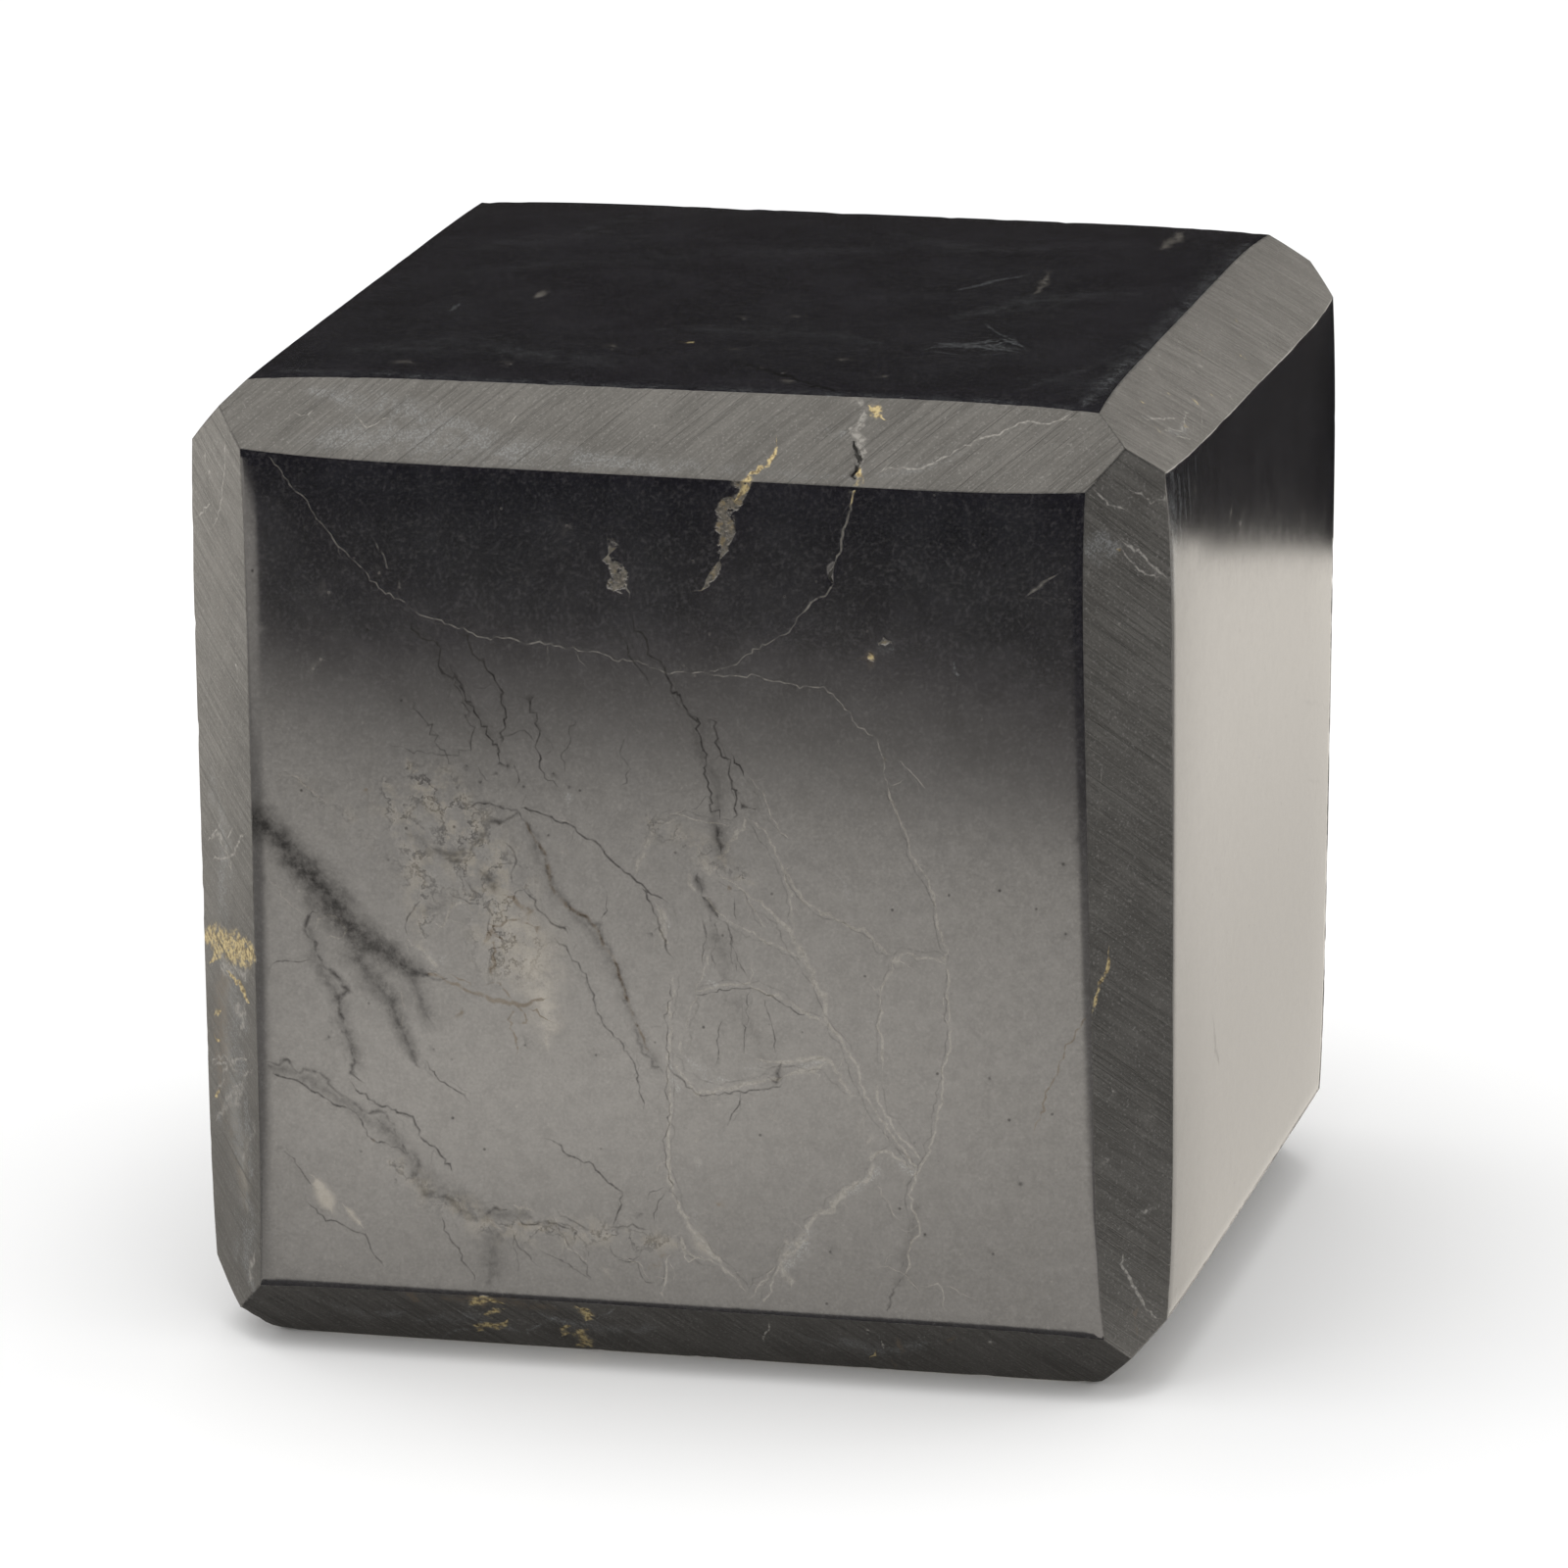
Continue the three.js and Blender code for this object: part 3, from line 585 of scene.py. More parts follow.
    line("pale", (0.1, 0.4, 0.1), "-7.9,8.6 -7.5,8.4 -6.7,8.2 -6.9,8.6", 0.5, 0.06),
    line("cream", (0.4, 1.1, 0.8, 0.3), "1,8.3 1.4,7.6 1.9,6.9 2.6,6.3", 0.7),
    line("cream", (0.3, 0.6, 0.2), "-9.4,8 -9,7.6 -8.6,7.3", 0.8),
    line("cream", (0.3, 0.9, 0.4), "-3.4,5.6 -3,5.2 -2.8,4.9", 0.5),
    line("brown", (0.3, 1.0, 0.6, 0.3), "-1.1,5.5 -0.7,5.8 -0.3,6.2 0,6.5", 0.5, 0.08),
    line("brown", (0.3, 0.8, 0.3), "-7.8,7.7 -7.4,7.5 -7.1,7.8", 0.4, 0.08),
    line("dark", 0.12, "-10.6,36.2 -10.3,35.2 -10.4,34.3 -9.8,33.4 -9.4,32.6 -9.6,31.8", 0.9, 0.1),
    line("dark", 0.12, "-12.6,34.2 -11.9,33.2 -11.4,32.6 -11,31.6 -10.4,31", 0.8, 0.1),
    line("dark", 0.12, "-4.2,33.6 -4.4,32.6 -4.9,31.9 -4.8,31", 0.8, 0.1),
    line("dark", 0.12, "-1.6,33 -1.9,32.1 -1.6,31.2 -2,30.4", 0.7, 0.1),
    line("dark", 0.12, "-13.4,31.8 -12.4,31.5 -11.5,31.8 -10.4,31.5 -9.6,31.8", 0.6, 0.1),
    line("dark", 0.12, "-8.4,33 -7.6,32.6 -7,32.8 -6.3,32.4", 0.7, 0.1),
    line("haze", (0.3, 1, 0.8, 0.2), "0.25,16.4 0.4,15.8 0.6,15.2 0.4,14.8", 0.9),
    line("haze", (0.4, 1.5, 1.1, 0.3), "7.2,8.2 6.7,7.3 6.2,6.6 5.7,5.8", 0.8),
    line("haze", (0.4, 0.8, 0.4), "10.8,11.9 10.4,11.3 9.6,10.6 8.8,10", 0.8),
    line("haze", (0.3, 0.9, 0.6), "12.6,11.2 12.2,11.7 11.6,12.3", 0.7),
    line("haze", (0.4, 1, 0.4), "1,16.9 1.8,16.3 2.4,15.6 3.2,15.7", 0.7),
    line("haze", (0.5, 0.8, 0.4), "6.2,16.5 7.2,16.8 8.2,16.9", 0.8),
    line("haze", (0.4, 0.8, 0.4), "4,16.4 4.8,16.5 5.2,16.9", 0.6),
    line("haze", (0.3, 0.9, 0.4), "-0.4,24.6 0,24 0.3,23.2", 0.8),
    line("haze", (0.4, 0.9, 0.5), "1.9,21.2 2.2,20.7 3,20.6", 0.6),
    line("haze", (0.6, 1.4, 0.8), "1.4,8.6 1.2,7.8 1.8,7", 0.5),
    line("haze", (0.3, 0.9, 0.3), "1.3,11.8 1.6,11.2 1.4,10.8", 0.5),
    line("haze", (0.3, 0.8, 0.3), "8.9,26.4 9.3,25.8 9.5,25.2", 0.6),
    spots("dark", 0.26, "20.1,24.1 16.3,16.6 8.2,7.2 10.8,20.5 13,8.4 16.4,7.6 -17.2,16.7 -11.8,16.4 "
         "-7.1,16.9 -13.9,9.5 -3.5,16.6 -5.7,27.7"),
    spots("dark", 0.36, "20,27.6 17.8,11.3"),
    spots("brown", 0.3, "-14.95,29.5"),
    spots("pale", 0.24, "-5,26.85 1.7,13 1.5,12.5 5.3,14 9.3,15.2 10.2,13", 0.8),
    spots("pale", 0.5, "1.6,11.4", 0.6),
    line("mottle", (3, 5.5, 6.5, 5), "-12.6,30.6 -10.6,29 -9.3,26.5 -8.2,23.8 -7.6,20.6"),
    line("mottle", (2.5, 5, 4, 2), "-14,30 -12.6,27 -12,24 -12.4,21.6", 0.7),
    line("mottle", (1.5, 3, 1.5), "-1.5,29 2.2,27.4 4.6,25.8", 0.6),
    line("mottle", (2, 3.4, 3, 2), "-14.2,10.4 -9.4,7.6 -4.6,7.4 0.4,7", 0.7),
    line("mottle", (2, 2.6, 1.6), "-18.4,29.8 -15,27.2 -12.4,25.6", 0.4),
]

# Bevel between front and top
MARKS["FT"] += [
    line("haze", (1.4, 3, 2.8, 1.6, 0.8), "-18.5,-1.5 -14,-1.1 -9,-1.3 -4,-1.7 1,-2.1", 1.0),
    line("haze", (0.8, 2.4, 2.6, 0.8), "-18.6,1.3 -15.6,1 -12.6,0.4 -9,-0.4", 0.8),
    line("haze", (0.6, 1.2, 0.6), "-8,-1.6 2,-1.9 10,-2", 0.5),
    line("pale", 0.13, "-15.6,0.1 -14.8,-0.6 -14,0", 0.8),
    line("pale", 0.12, "-17.7,-0.45 -17.4,-0.55", 0.8),
    line("pale", 0.12, "-18.6,0.05 -18,0", 0.8),
    line("pale", 0.12, "-7.4,0.6 -7.8,-0.1", 0.6),
    spots("pale", 0.2, "-0.5,0.25"),
    line("gold", (0.2, 0.35, 0.4, 0.3), "5.65,-0.4 5.5,-1.1 5.2,-1.7 4.8,-2.1 4.5,-2.6", 0.9),
    line("pale", 0.3, "8.8,2.5 9.3,2 9.8,1.7", 0.8, 0.1),
    line("gold", (0.3, 0.85, 0.3), "9.9,1.9 10.2,1.5 10.7,1.2"),
    line("pale", (0.3, 0.55, 0.5, 0.3), "9.7,1.6 9.3,0.9 9.3,0.3 9.5,-0.2 9.7,-0.8", 1.0, 0.12),
    line("pale", 0.35, "9.9,-0.6 10,-1.4 9.9,-2.1", 0.8, 0.1),
    line("pit", (0.12, 0.3, 0.24, 0.15), "9.45,-0.1 9.65,-0.8 9.75,-1.4 9.75,-2.1"),
    line("gold", 0.4, "9.95,-1.5 10.05,-2 9.95,-2.6"),
    line("haze", 0.8, "8,0.5 9,0.3", 0.8),
    line("pale", 0.15, "11,-1.7 12.2,-1.5 13.2,-1.3 14,-0.9 14.6,-0.3 15.3,0.2 16.3,0.6 17.2,1.1 17.8,1.4 "
         "18.6,1.4 19.3,1.6", 0.8),
    spots("pale", 0.35, "11.3,-1.5", 0.8),
    line("haze", 0.9, "10.8,-1.8 13,-1.5 15,-0.4", 0.5),
]

# Bevel between front and right
MARKS["FR"] += [
    line("pale", (0.15, 0.22, 0.15), "3.9,1.3 4.5,0.6 5,0.3 5.8,-0.2 6.8,-0.6 7.6,-0.7", 0.9),
    line("brown", (0.2, 0.4, 0.2), "3.3,0.1 3.7,0.05 4.2,0"),
    spots("pale", 0.35, "9.55,0.65", 0.9),
    spots("pale", 0.15, "14.3,1 13.4,0.5 12.6,-1.5 16,-1.2 30.3,-1.85 39.3,-0.6", 0.9),
    line("gold", 0.28, "19.9,-2.4 20.7,-2.2 21.5,-1.9 22.3,-1.5 23,-1.4"),
    line("pale", 0.14, "31.7,-1.7 32.2,-1.7", 0.7),
    line("pale", 0.17, "41.2,2.2 41.8,1.5 42.5,0.7 43.2,0.1 43.3,-0.3"),
    line("pale", 0.14, "41.3,1.6 41.7,0.8 42.3,0.1 42.9,-0.3", 0.8),
    spots("gold", 0.2, "42.95,-0.5"),
    line("haze", (0.8, 2.6), "43,-0.5 43.3,-2.3", 1.6),
    line("pale", 0.14, "45,2.2 45.1,1.5 45.6,0.8 45.7,0.3", 0.8),
    line("pale", 0.15, "44.9,-0.2 45.2,-0.9 45.7,-1.5 46.1,-1.9", 0.8),
]

# Bevel between front and left
MARKS["FL"] += [
    line("gold", (1.0, 2.3, 1.9, 2.4, 1.3), "20.3,3 20.4,1.6 20.4,0.4 20.6,-1 20.6,-2.7"),
    line("pale", (0.5, 1.2, 0.5), "19.6,1.6 19.4,0 19.4,-1.6", 0.9, 0.12),
    line("gold", 0.35, "18.7,-0.5 18.7,-1.4"),
    line("gold", 0.35, "15.2,2 15.2,1.4"),
    line("pale", 0.2, "13.8,2 14.3,0.8 14.8,-0.5 15,-1.6", 0.9),
    line("pale", 0.16, "13.1,0.3 13.6,-0.8 14.4,-1.9", 0.8),
    line("haze", (0.8, 1.8, 1), "8.6,-1.6 11,-1.5 13.4,-1.2"),
    spots("haze", 1.1, "11,1.8 12.2,0.8"),
    spots("pale", 0.35, "3.5,-1.4 4.7,-1.7", 0.8),
    line("pale", 0.18, "24.6,1.6 24.9,0.5 25.3,-0.6 25.9,-1.1 26.5,-1.5 26.7,-2"),
    line("pale", 0.15, "25.4,2.2 26,1.2 26.8,0.6"),
    line("pale", 0.14, "26,0 26.8,-0.8"),
    line("haze", 1.8, "27.4,1.5 29.1,1.3", 0.7),
    line("haze", (1.5, 3.4, 3, 1.4), "21.6,0.4 23.4,0.8 25.6,0.2 28,0.8", 0.8),
    line("haze", (1.4, 3.4, 2.6, 1.4), "19.6,-0.4 17.6,-0.6 15.4,0.2 13,-1", 0.9),
    line("pale", (0.3, 0.7, 0.3), "17.9,-0.9 17.2,-1.6 16.6,-1.4", 0.7, 0.15),
    line("pale", (0.2, 0.5, 0.2), "24.4,-0.4 25.3,0.4 26,1.6", 0.7, 0.12),
    line("haze", (1, 2.4, 2.2, 1), "2.9,-1.6 4.4,-1 6.4,-1.4 8,-1.2", 0.9),
    line("haze", (0.8, 2.2, 2.6, 1.4), "9,-0.8 11.4,-0.2 13.6,-0.4 15.4,-1.2", 1.5),
    line("pale", (0.15, 0.55, 0.2), "10.8,2.2 11.6,1.2 12.6,0.4 13.4,-0.6", 0.55, 0.1),
    line("pale", (0.1, 0.4, 0.15), "12,2.3 13,1.2 13.9,0.2 14.3,-0.8", 0.55, 0.1),
    line("pale", (0.1, 0.4, 0.15), "13.6,2.4 14.4,1.2 14.8,0 15.2,-1.4", 0.55, 0.1),
    line("pale", (0.2, 0.9, 0.4), "11.6,0.8 13,-0.4 14.2,-1.6", 0.45, 0.15),
    line("pale", (0.2, 0.7, 0.3), "9,-0.6 10.2,-1.4 11.8,-2", 0.4, 0.15),
    line("pale", (0.2, 0.6, 0.2), "16,-0.8 17.2,-1.2 18,-2", 0.5, 0.12),
    line("pale", (0.2, 0.6, 0.2), "3.2,-1.1 4,-1.6 5,-1.8", 0.6, 0.12),
    line("cream", (1, 3.4, 3.4, 1.6), "7,-1.2 10,-0.6 13.4,0.2 16,0.6", 0.8),
    line("cream", (1, 3, 2.6, 1), "15.4,1 17.6,0.6 19.6,0", 0.6),
    line("cream", (1.4, 3, 3, 1.4), "22,0 30,0.4 38,0 46,0.4", 0.2),
    line("gold", (0.15, 0.35, 0.5, 0.3), "19.1,0.4 18.8,-0.4 18.6,-1.2 18,-2", 1.0, 0.06),
    line("gold", (0.4, 0.7, 0.3), "19,2.4 19.6,1.6 20,0.8", 0.9, 0.08),
    spots("pale", 0.22, "32.4,2.4 37.2,2 35.2,-1.5 44.5,0.9 45.2,1.4", 0.9),
    line("pale", 0.14, "41.8,2.7 42,2.3 42.4,1.6 42.9,0.9", 0.8),
    line("pale", 0.14, "41.8,0.6 42.4,0.1 43.2,-0.25 44,-0.5 44.8,-0.7 45.6,-0.8 46.5,-0.8", 0.8),
    line("brown", (1, 3.4, 2.2), "12.5,1.6 17,1.2 19.5,0.5", 0.6),
    line("brown", (1, 2.6, 1), "7,-1 10,0.4 13,1.8", 0.4),
    line("haze", (1, 2.8, 2.4, 1), "3.6,0.4 7,-0.6 11,0.2 15,-0.9", 0.6),
    line("haze", 1.6, "16.2,-1.6 18,-0.6", 0.8),
    line("gold", 0.5, "16.4,2 16.8,1.2", 0.7),
    line("gold", 0.4, "12.1,2.2 12.6,1.5", 0.7),
]

# Bevel between front and bottom
MARKS["FB"] += [
    line("brown", 0.7, "-13.3,-1.6 -13.4,-2.6"),
    line("gold", (0.2, 0.7, 0.9, 0.3), "-10.6,1.2 -9.9,0.5 -9.3,0.3 -8.8,-0.2", 0.8, 0.12),
    line("gold", (0.2, 0.6, 0.3), "-9.6,-0.3 -9.2,-0.9 -8.8,-1.3", 0.7, 0.12),
    line("haze", (0.8, 2, 1), "-14,0.6 -11,-0.4 -8.4,1", 0.7),
    line("haze", (0.8, 1.8, 1), "-7.2,-1 -4,0.2 -1,-0.6", 0.6),
    line("brown", (1, 2, 1), "-12,-2 -9,-2.2 -6,-1.6", 0.6),
    line("brown", (0.5, 1.2, 1), "-9.8,-1.4 -9.9,-2.1 -9.9,-2.8"),
    line("gold", (0.3, 1, 0.9, 0.3), "-5.8,2.3 -5.3,1.6 -5.3,0.9 -4.9,0.3", 0.7, 0.12),
    line("gold", (0.2, 0.5, 0.2), "-6.3,1.2 -5.9,0.7 -5.6,0", 0.6, 0.12),
    line("gold", (0.5, 1.2, 0.5), "-10.4,-1.6 -9.6,-2 -8.9,-2", 0.7),
    line("gold", (0.5, 1.1, 0.5), "-4.7,-0.6 -4.4,-1.3 -4.8,-1.9", 0.7),
    line("haze", (1, 2.2, 1.8, 1), "8,-0.6 9.4,0.4 11.2,0.2 13,-0.8", 0.6),
    line("haze", (0.8, 2, 1), "-18,-0.6 -16,0.3 -14,-0.4", 0.5),
    line("haze", 0.35, "-8,1 -7.2,0 -6,-1", 0.9),
    line("haze", 0.35, "-12.5,2 -11.8,1.5 -11,1", 0.9),
    line("haze", 0.35, "-4,-1 -3.4,-1.5 -3,-2", 0.9),
    line("gold", 0.25, "9.5,1.2 9.7,0.9 9.9,0.6"),
    line("pale", 0.22, "10.4,0.1 10.4,-0.5"),
    spots("pale", 0.25, "9.9,-1.6 16,-1.2"),
    line("brown", 0.4, "11.3,0.5 11.3,-1"),
    line("brown", 0.35, "10.6,2.2 10.6,1.4"),
    line("brown", 0.25, "13.8,-0.8 14.3,-1.5"),
    line("pale", 0.16, "4.3,0.2 4.7,-0.8 4.9,-1.8", 0.8),
    line("haze", 0.5, "6,-0.8 7.6,0.3 8.5,0.6", 0.7),
]

# Bevel between top and right
MARKS["TR"] += [
    line("pale", 0.15, "-16.8,-0.7 -15.8,-0.2 -15,0.1 -14.2,0.2 -13.3,0.5"),
    line("pale", 0.13, "-15.6,0.9 -14.8,1.3 -13.8,1.7", 0.8),
    line("pale", 0.14, "-16,0.5 -15.2,0.6 -14.4,1.1 -13.5,1", 0.9),
    line("haze", (0.6, 1.2, 0.6), "-15.8,0.6 -14.6,0.9 -13.2,1.2", 0.9),
    line("pale", 0.12, "-12.6,0.9 -11.6,0.7", 0.8),
    line("pale", 0.12, "-12.6,1.5 -12.3,1.4", 0.8),
    line("pale", 0.12, "-10.9,1.65 -10.5,1.5", 0.8),
    line("pale", 0.12, "-9.4,1.3 -9,1.2", 0.8),
    line("haze", 0.7, "-17.4,-0.9 -15.4,-0.2", 0.6),
    spots("gold", 0.2, "-16.6,0.4 -15.1,-1.2 -13.2,1.1 -11.2,-0.6 -9,0.7 -6.4,1 -2.4,-0.9 1.8,0.8 "
         "5.6,-0.5", 0.8),
    spots("pale", 0.18, "-5.7,-0.4 -5.8,-0.7 -4.4,1.8 -4.2,-0.3 -3.8,-1.95 -7.6,-2.2 -10.3,-2.05 -19.1,0.3 "
         "0.4,-1.85", 0.9),
]

# Top face
MARKS["T"] += [
    line("pale", (0.3, 0.85, 0.3), "-11.8,-3.2 -11.8,-2.2 -11.8,-1.2", 0.8),
    line("haze", 0.4, "-15.2,-6.6 -15.2,-5", 1.2),
    line("pale", (0.4, 1.25, 0.5), "16.9,14.4 16.9,16.9 16.9,19.4", 0.7),
    line("haze", (0.2, 0.6, 0.3), "8.7,2.6 10,4.6 11.5,7.3", 1.3),
    line("pale", (0.3, 0.9, 0.4), "12.5,7.3 12.7,4.8 12.8,2.6", 0.5),
    line("haze", (0.15, 0.35, 0.15), "11.9,-4.7 13.2,-7 14.6,-8.9 15.3,-10.4"),
    line("haze", (0.6, 2.4, 1.2), "10.4,-9.9 12.8,-9.5 14.8,-10", 0.75),
    line("haze", 0.3, "10.4,-10.6 11.6,-10 12.6,-9.2 13.4,-8.2", 1.7),
    line("haze", 0.28, "11.4,-9.2 12.6,-9.8 13.8,-10.6", 1.6),
    line("haze", 0.28, "12.2,-10.6 13,-9.6 13.6,-8.8 14.4,-8.2", 1.6),
    line("haze", 0.14, "13,-10.8 13.8,-9.8 14.6,-9.6", 1.0),
    line("haze", 0.3, "11.2,-10.4 12.6,-8.7 13.4,-7.9 14.9,-9.3", 1.3),
    line("haze", 0.25, "10.6,-9.5 12,-10.1 13.8,-10 15.1,-10.6", 1.3),
    line("haze", 0.2, "12.1,-9 13.2,-10 14.2,-10.4", 1.2),
    line("haze", (3, 6, 3), "-18,2 -8,8 4,12", 0.25),
    line("haze", (1.6, 2.4, 1.6, 1.6), "-20.4,-20 -8,-20.6 6,-20.5 20,-20.4", 0.4),
    line("haze", (1.6, 3, 2.4, 1.6), "20.2,-20 20.6,-12 20.8,4 20.7,18", 0.55),
    line("haze", (0.6, 1, 0.6), "16.8,-18 18.5,-14 20,-9", 0.35),
    line("haze", 0.2, "10.2,-11.2 12.5,-11.6 14.2,-11.2", 0.8),
    spots("gold", 0.3, "-1.5,-11.5"),
    spots("pale", 0.22, "2.3,-4.8 -0.2,-5.8"),
    line("dark", 0.2, "2.1,-15.6 3.6,-16.6 5.2,-17.7 6.3,-18.9 7.8,-19.8", 1.0),
    line("dark", 0.3, "3.9,-16.9 5,-17.6 5.6,-18.3"),
    line("dark", 0.3, "6.4,-19.2 7.4,-19.7 8.2,-20.2"),
    spots("pale", 0.2, "3.3,-16.2 5.4,-18.4 4.6,-17.1 -5,-13 -9,-17.6 1,-12.6 6.8,-14 9.7,-17 -14,-18"),
    line("haze", (2, 4, 2), "-10,-15 -7,-15.5 -4,-15.5", 0.3),
    line("haze", (2, 3.5, 2), "16,-16 18,-16 20,-16", 0.3),
    line("haze", (2, 5, 3), "-4,-9 3,-8 8,-10", 0.3),
    line("haze", (3, 7, 4), "-19,-16 -12,-14 -4,-17", 0.35),
    line("haze", (3, 6, 4), "10,-4 14,2 18,4", 0.35),
    line("haze", (3, 6, 3), "-19,8 -14,12 -12,18", 0.3),
    line("haze", (2, 4, 2), "2,16 8,12 12,14", 0.3),
]

# Right face
MARKS["R"] += [
    line("smudge", (0.4, 0.9, 0.5), "-12.1,16.4 -11.6,15.2 -10.8,13.8"),
    line("haze", 0.3, "-10,35.9 -5.6,30.5 -0.6,27.8", 0.4),
    line("smudge", 0.5, "10.5,27 14.2,25.9 17.8,24.7", 0.4),
    line("smudge", 0.4, "12,22.4 13.6,21.9 15.3,21.4", 0.4),
    line("pale", 0.16, "-14.8,38.3 -14.6,37.7", 0.8),
    line("haze", (0.8, 2.2, 1.4, 0.6), "-19.4,46.4 -19.6,44.6 -19.7,42.6 -19.9,40", 1.5),
    line("haze", (0.3, 0.8, 0.3), "-18.2,46 -18.3,44 -18.4,42.4", 1.3),
    line("haze", (0.2, 0.4, 0.2), "-16.2,45.8 -16.3,44.4 -16.3,43", 1.2),
    line("haze", (0.2, 0.35, 0.2), "-14.6,46 -14.7,44.8", 1.1),
    line("haze", (0.2, 0.5, 0.2), "-17.2,45.6 -17.3,43.2", 1.2),
    line("haze", (1, 4, 2), "-10,44 -2,42 8,43", 0.2),
    line("smudge", 0.5, "19.6,14 19.9,20 20,27", 0.3),
    spots("pale", 0.3, "-15.2,44.2 -5,40.1 -7.2,41.3", 0.8),
]


# Sides that the photo doesn't show get veins of the same kinds, in a fixed random order

def drift(dice, start, heading, length, turn):
    """A crack that wanders on from a start."""
    path = [start]
    for _ in range(int(length)):
        heading += dice.gauss(0, turn)
        path.append((path[-1][0] + math.cos(heading), path[-1][1] + math.sin(heading)))
    return path


def any_heading(dice):
    return dice.uniform(0, 2 * math.pi)


def add_hidden_marks(name, seed, u_range, v_range, long_veins, cracks, golds):
    """Adds veins with a fork, cracks, golden patches and specks, drifting from random places."""
    dice = random.Random(seed)
    marks = MARKS[name]

    def somewhere():
        return dice.uniform(*u_range), dice.uniform(*v_range)

    for _ in range(long_veins):
        path = drift(dice, somewhere(), any_heading(dice), dice.uniform(14, 34), 0.22)
        marks.append(as_line("pale", 0.14, path, dice.uniform(0.6, 0.95)))
        fork = path[len(path) // 2]
        branch = drift(dice, fork, any_heading(dice), dice.uniform(4, 12), 0.35)
        marks.append(as_line("pale", 0.12, branch, 0.6))
    for _ in range(cracks):
        path = drift(dice, somewhere(), any_heading(dice), dice.uniform(4, 13), 0.5)
        width = (0.12, dice.uniform(0.16, 0.4), 0.12)
        marks.append(as_line("dark", width, path, dice.uniform(0.6, 1), 0.08))
    for _ in range(golds):
        path = drift(dice, somewhere(), any_heading(dice), 2, 0.6)
        width = (0.1, dice.uniform(0.25, 0.6), 0.1)
        marks.append(as_line("gold", width, path, 0.9, 0.1))
        marks.append(as_line("haze", 1.4, drift(dice, path[0], 0.5, 3, 0.8), 0.5))
    marks.append(as_spots("pale", 0.22, [somewhere() for _ in range(SPECKS_A_SIDE)], 0.7))


SPECKS_A_SIDE = 14
UPRIGHT_RANGE = (5, 44)
LEVEL_RANGE = (-19, 19)
BEVEL_SEED = 30
add_hidden_marks("K", 11, LEVEL_RANGE, UPRIGHT_RANGE, long_veins=3, cracks=12, golds=4)
add_hidden_marks("L", 12, (-18, 18), UPRIGHT_RANGE, long_veins=3, cracks=11, golds=3)
add_hidden_marks("B", 13, (-18, 18), (-18, 18), long_veins=3, cracks=9, golds=3)
for order, bevel in enumerate(("LT", "LB", "RB", "TK", "RK", "LK", "BK")):
    along = UPRIGHT_RANGE if bevel in ("RK", "LK") else LEVEL_RANGE
    add_hidden_marks(bevel, BEVEL_SEED + order, along, (-1.6, 1.6), long_veins=1, cracks=3, golds=2)


# Sheets of triangles

def spread(values, count):
    """A width given at one or more places along a line, at every one of its points."""
    given = np.atleast_1d(values).astype(float)
    return np.interp(np.linspace(0, 1, count), np.linspace(0, 1, len(given)), given)


def slow_bends(at, knots, dice, reach):
    return np.interp(at, knots, dice.normal(0, reach, len(knots)))


def walked(path, step, dice, wander):
    """The line with points a step apart, moved off it in slow bends and small kinks."""
    lengths = np.linalg.norm(np.diff(path, axis=0), axis=1)
    along = np.concatenate([[0], np.cumsum(lengths)])
    count = max(3, int(along[-1] / step) + 1)
    at = np.linspace(0, along[-1], count)
    points = np.stack([np.interp(at, along, path[:, k]) for k in (0, 1)], axis=1)
    knots = np.arange(0, along[-1] + BEND_LENGTH, BEND_LENGTH)
    bends = np.stack([slow_bends(at, knots, dice, 1.5 * wander) for _ in (0, 1)], axis=1)
    bends[0] = bends[-1] = 0
    kinks = dice.normal(0, 1.1 * wander, points.shape)
    kinks[0] = kinks[-1] = 0
    return points + bends + kinks


def sideways(points):
    """Unit vectors square to a line at each of its points."""
    ahead = np.gradient(points, axis=0)
    ahead /= np.maximum(np.linalg.norm(ahead, axis=1, keepdims=True), 1e-9)
    return np.stack([-ahead[:, 1], ahead[:, 0]], axis=1)


def segment_distances(points, starts, ends):
    """Distance from every point to every segment, and how far along it the nearest place is."""
    way = ends - starts
    lengths = np.maximum((way ** 2).sum(axis=1), 1e-12)
    rel = points[:, None, :] - starts[None]
    share = np.clip((rel * way[None]).sum(axis=2) / lengths, 0, 1)
    gap = rel - share[..., None] * way[None]
    return np.sqrt((gap ** 2).sum(axis=2)), share


def trace_mark(mark, dice):
    """Works out the points of one marking and the rows of points that the sheet has to hold."""
    if "centres" in mark:
        rows = []
        for centre in mark["centres"]:
            angles = np.arange(SPOT_POINTS) / SPOT_POINTS * 2 * math.pi + dice.uniform(0, 1)
            radii = mark["size"] / 2 * dice.uniform(0.5, 1.1, SPOT_POINTS)
            ring = centre + np.stack([np.cos(angles), np.sin(angles)], axis=1) * radii[:, None]
            rows.append(np.vstack([ring, ring[:1]]))
        mark["rows"] = rows
        mark["loose"] = mark["centres"]
        return
    step = max(MARK_STEP, np.max(mark["width"]) * 0.2)
    points = walked(mark["path"], step, dice, mark["wander"])
    half = spread(mark["width"], len(points)) / 2 * dice.uniform(0.8, 1.2, len(points))
    half[0] = half[-1] = half.min() * 0.3
    side = sideways(points) * half[:, None]
    mark["points"] = points
    mark["half"] = half
    mark["rows"] = [points, points + side, points - side]
    mark["loose"] = np.empty((0, 2))
    if np.max(half) > 0.35:
        mark["loose"] = np.vstack([points + side / 2, points - side / 2])


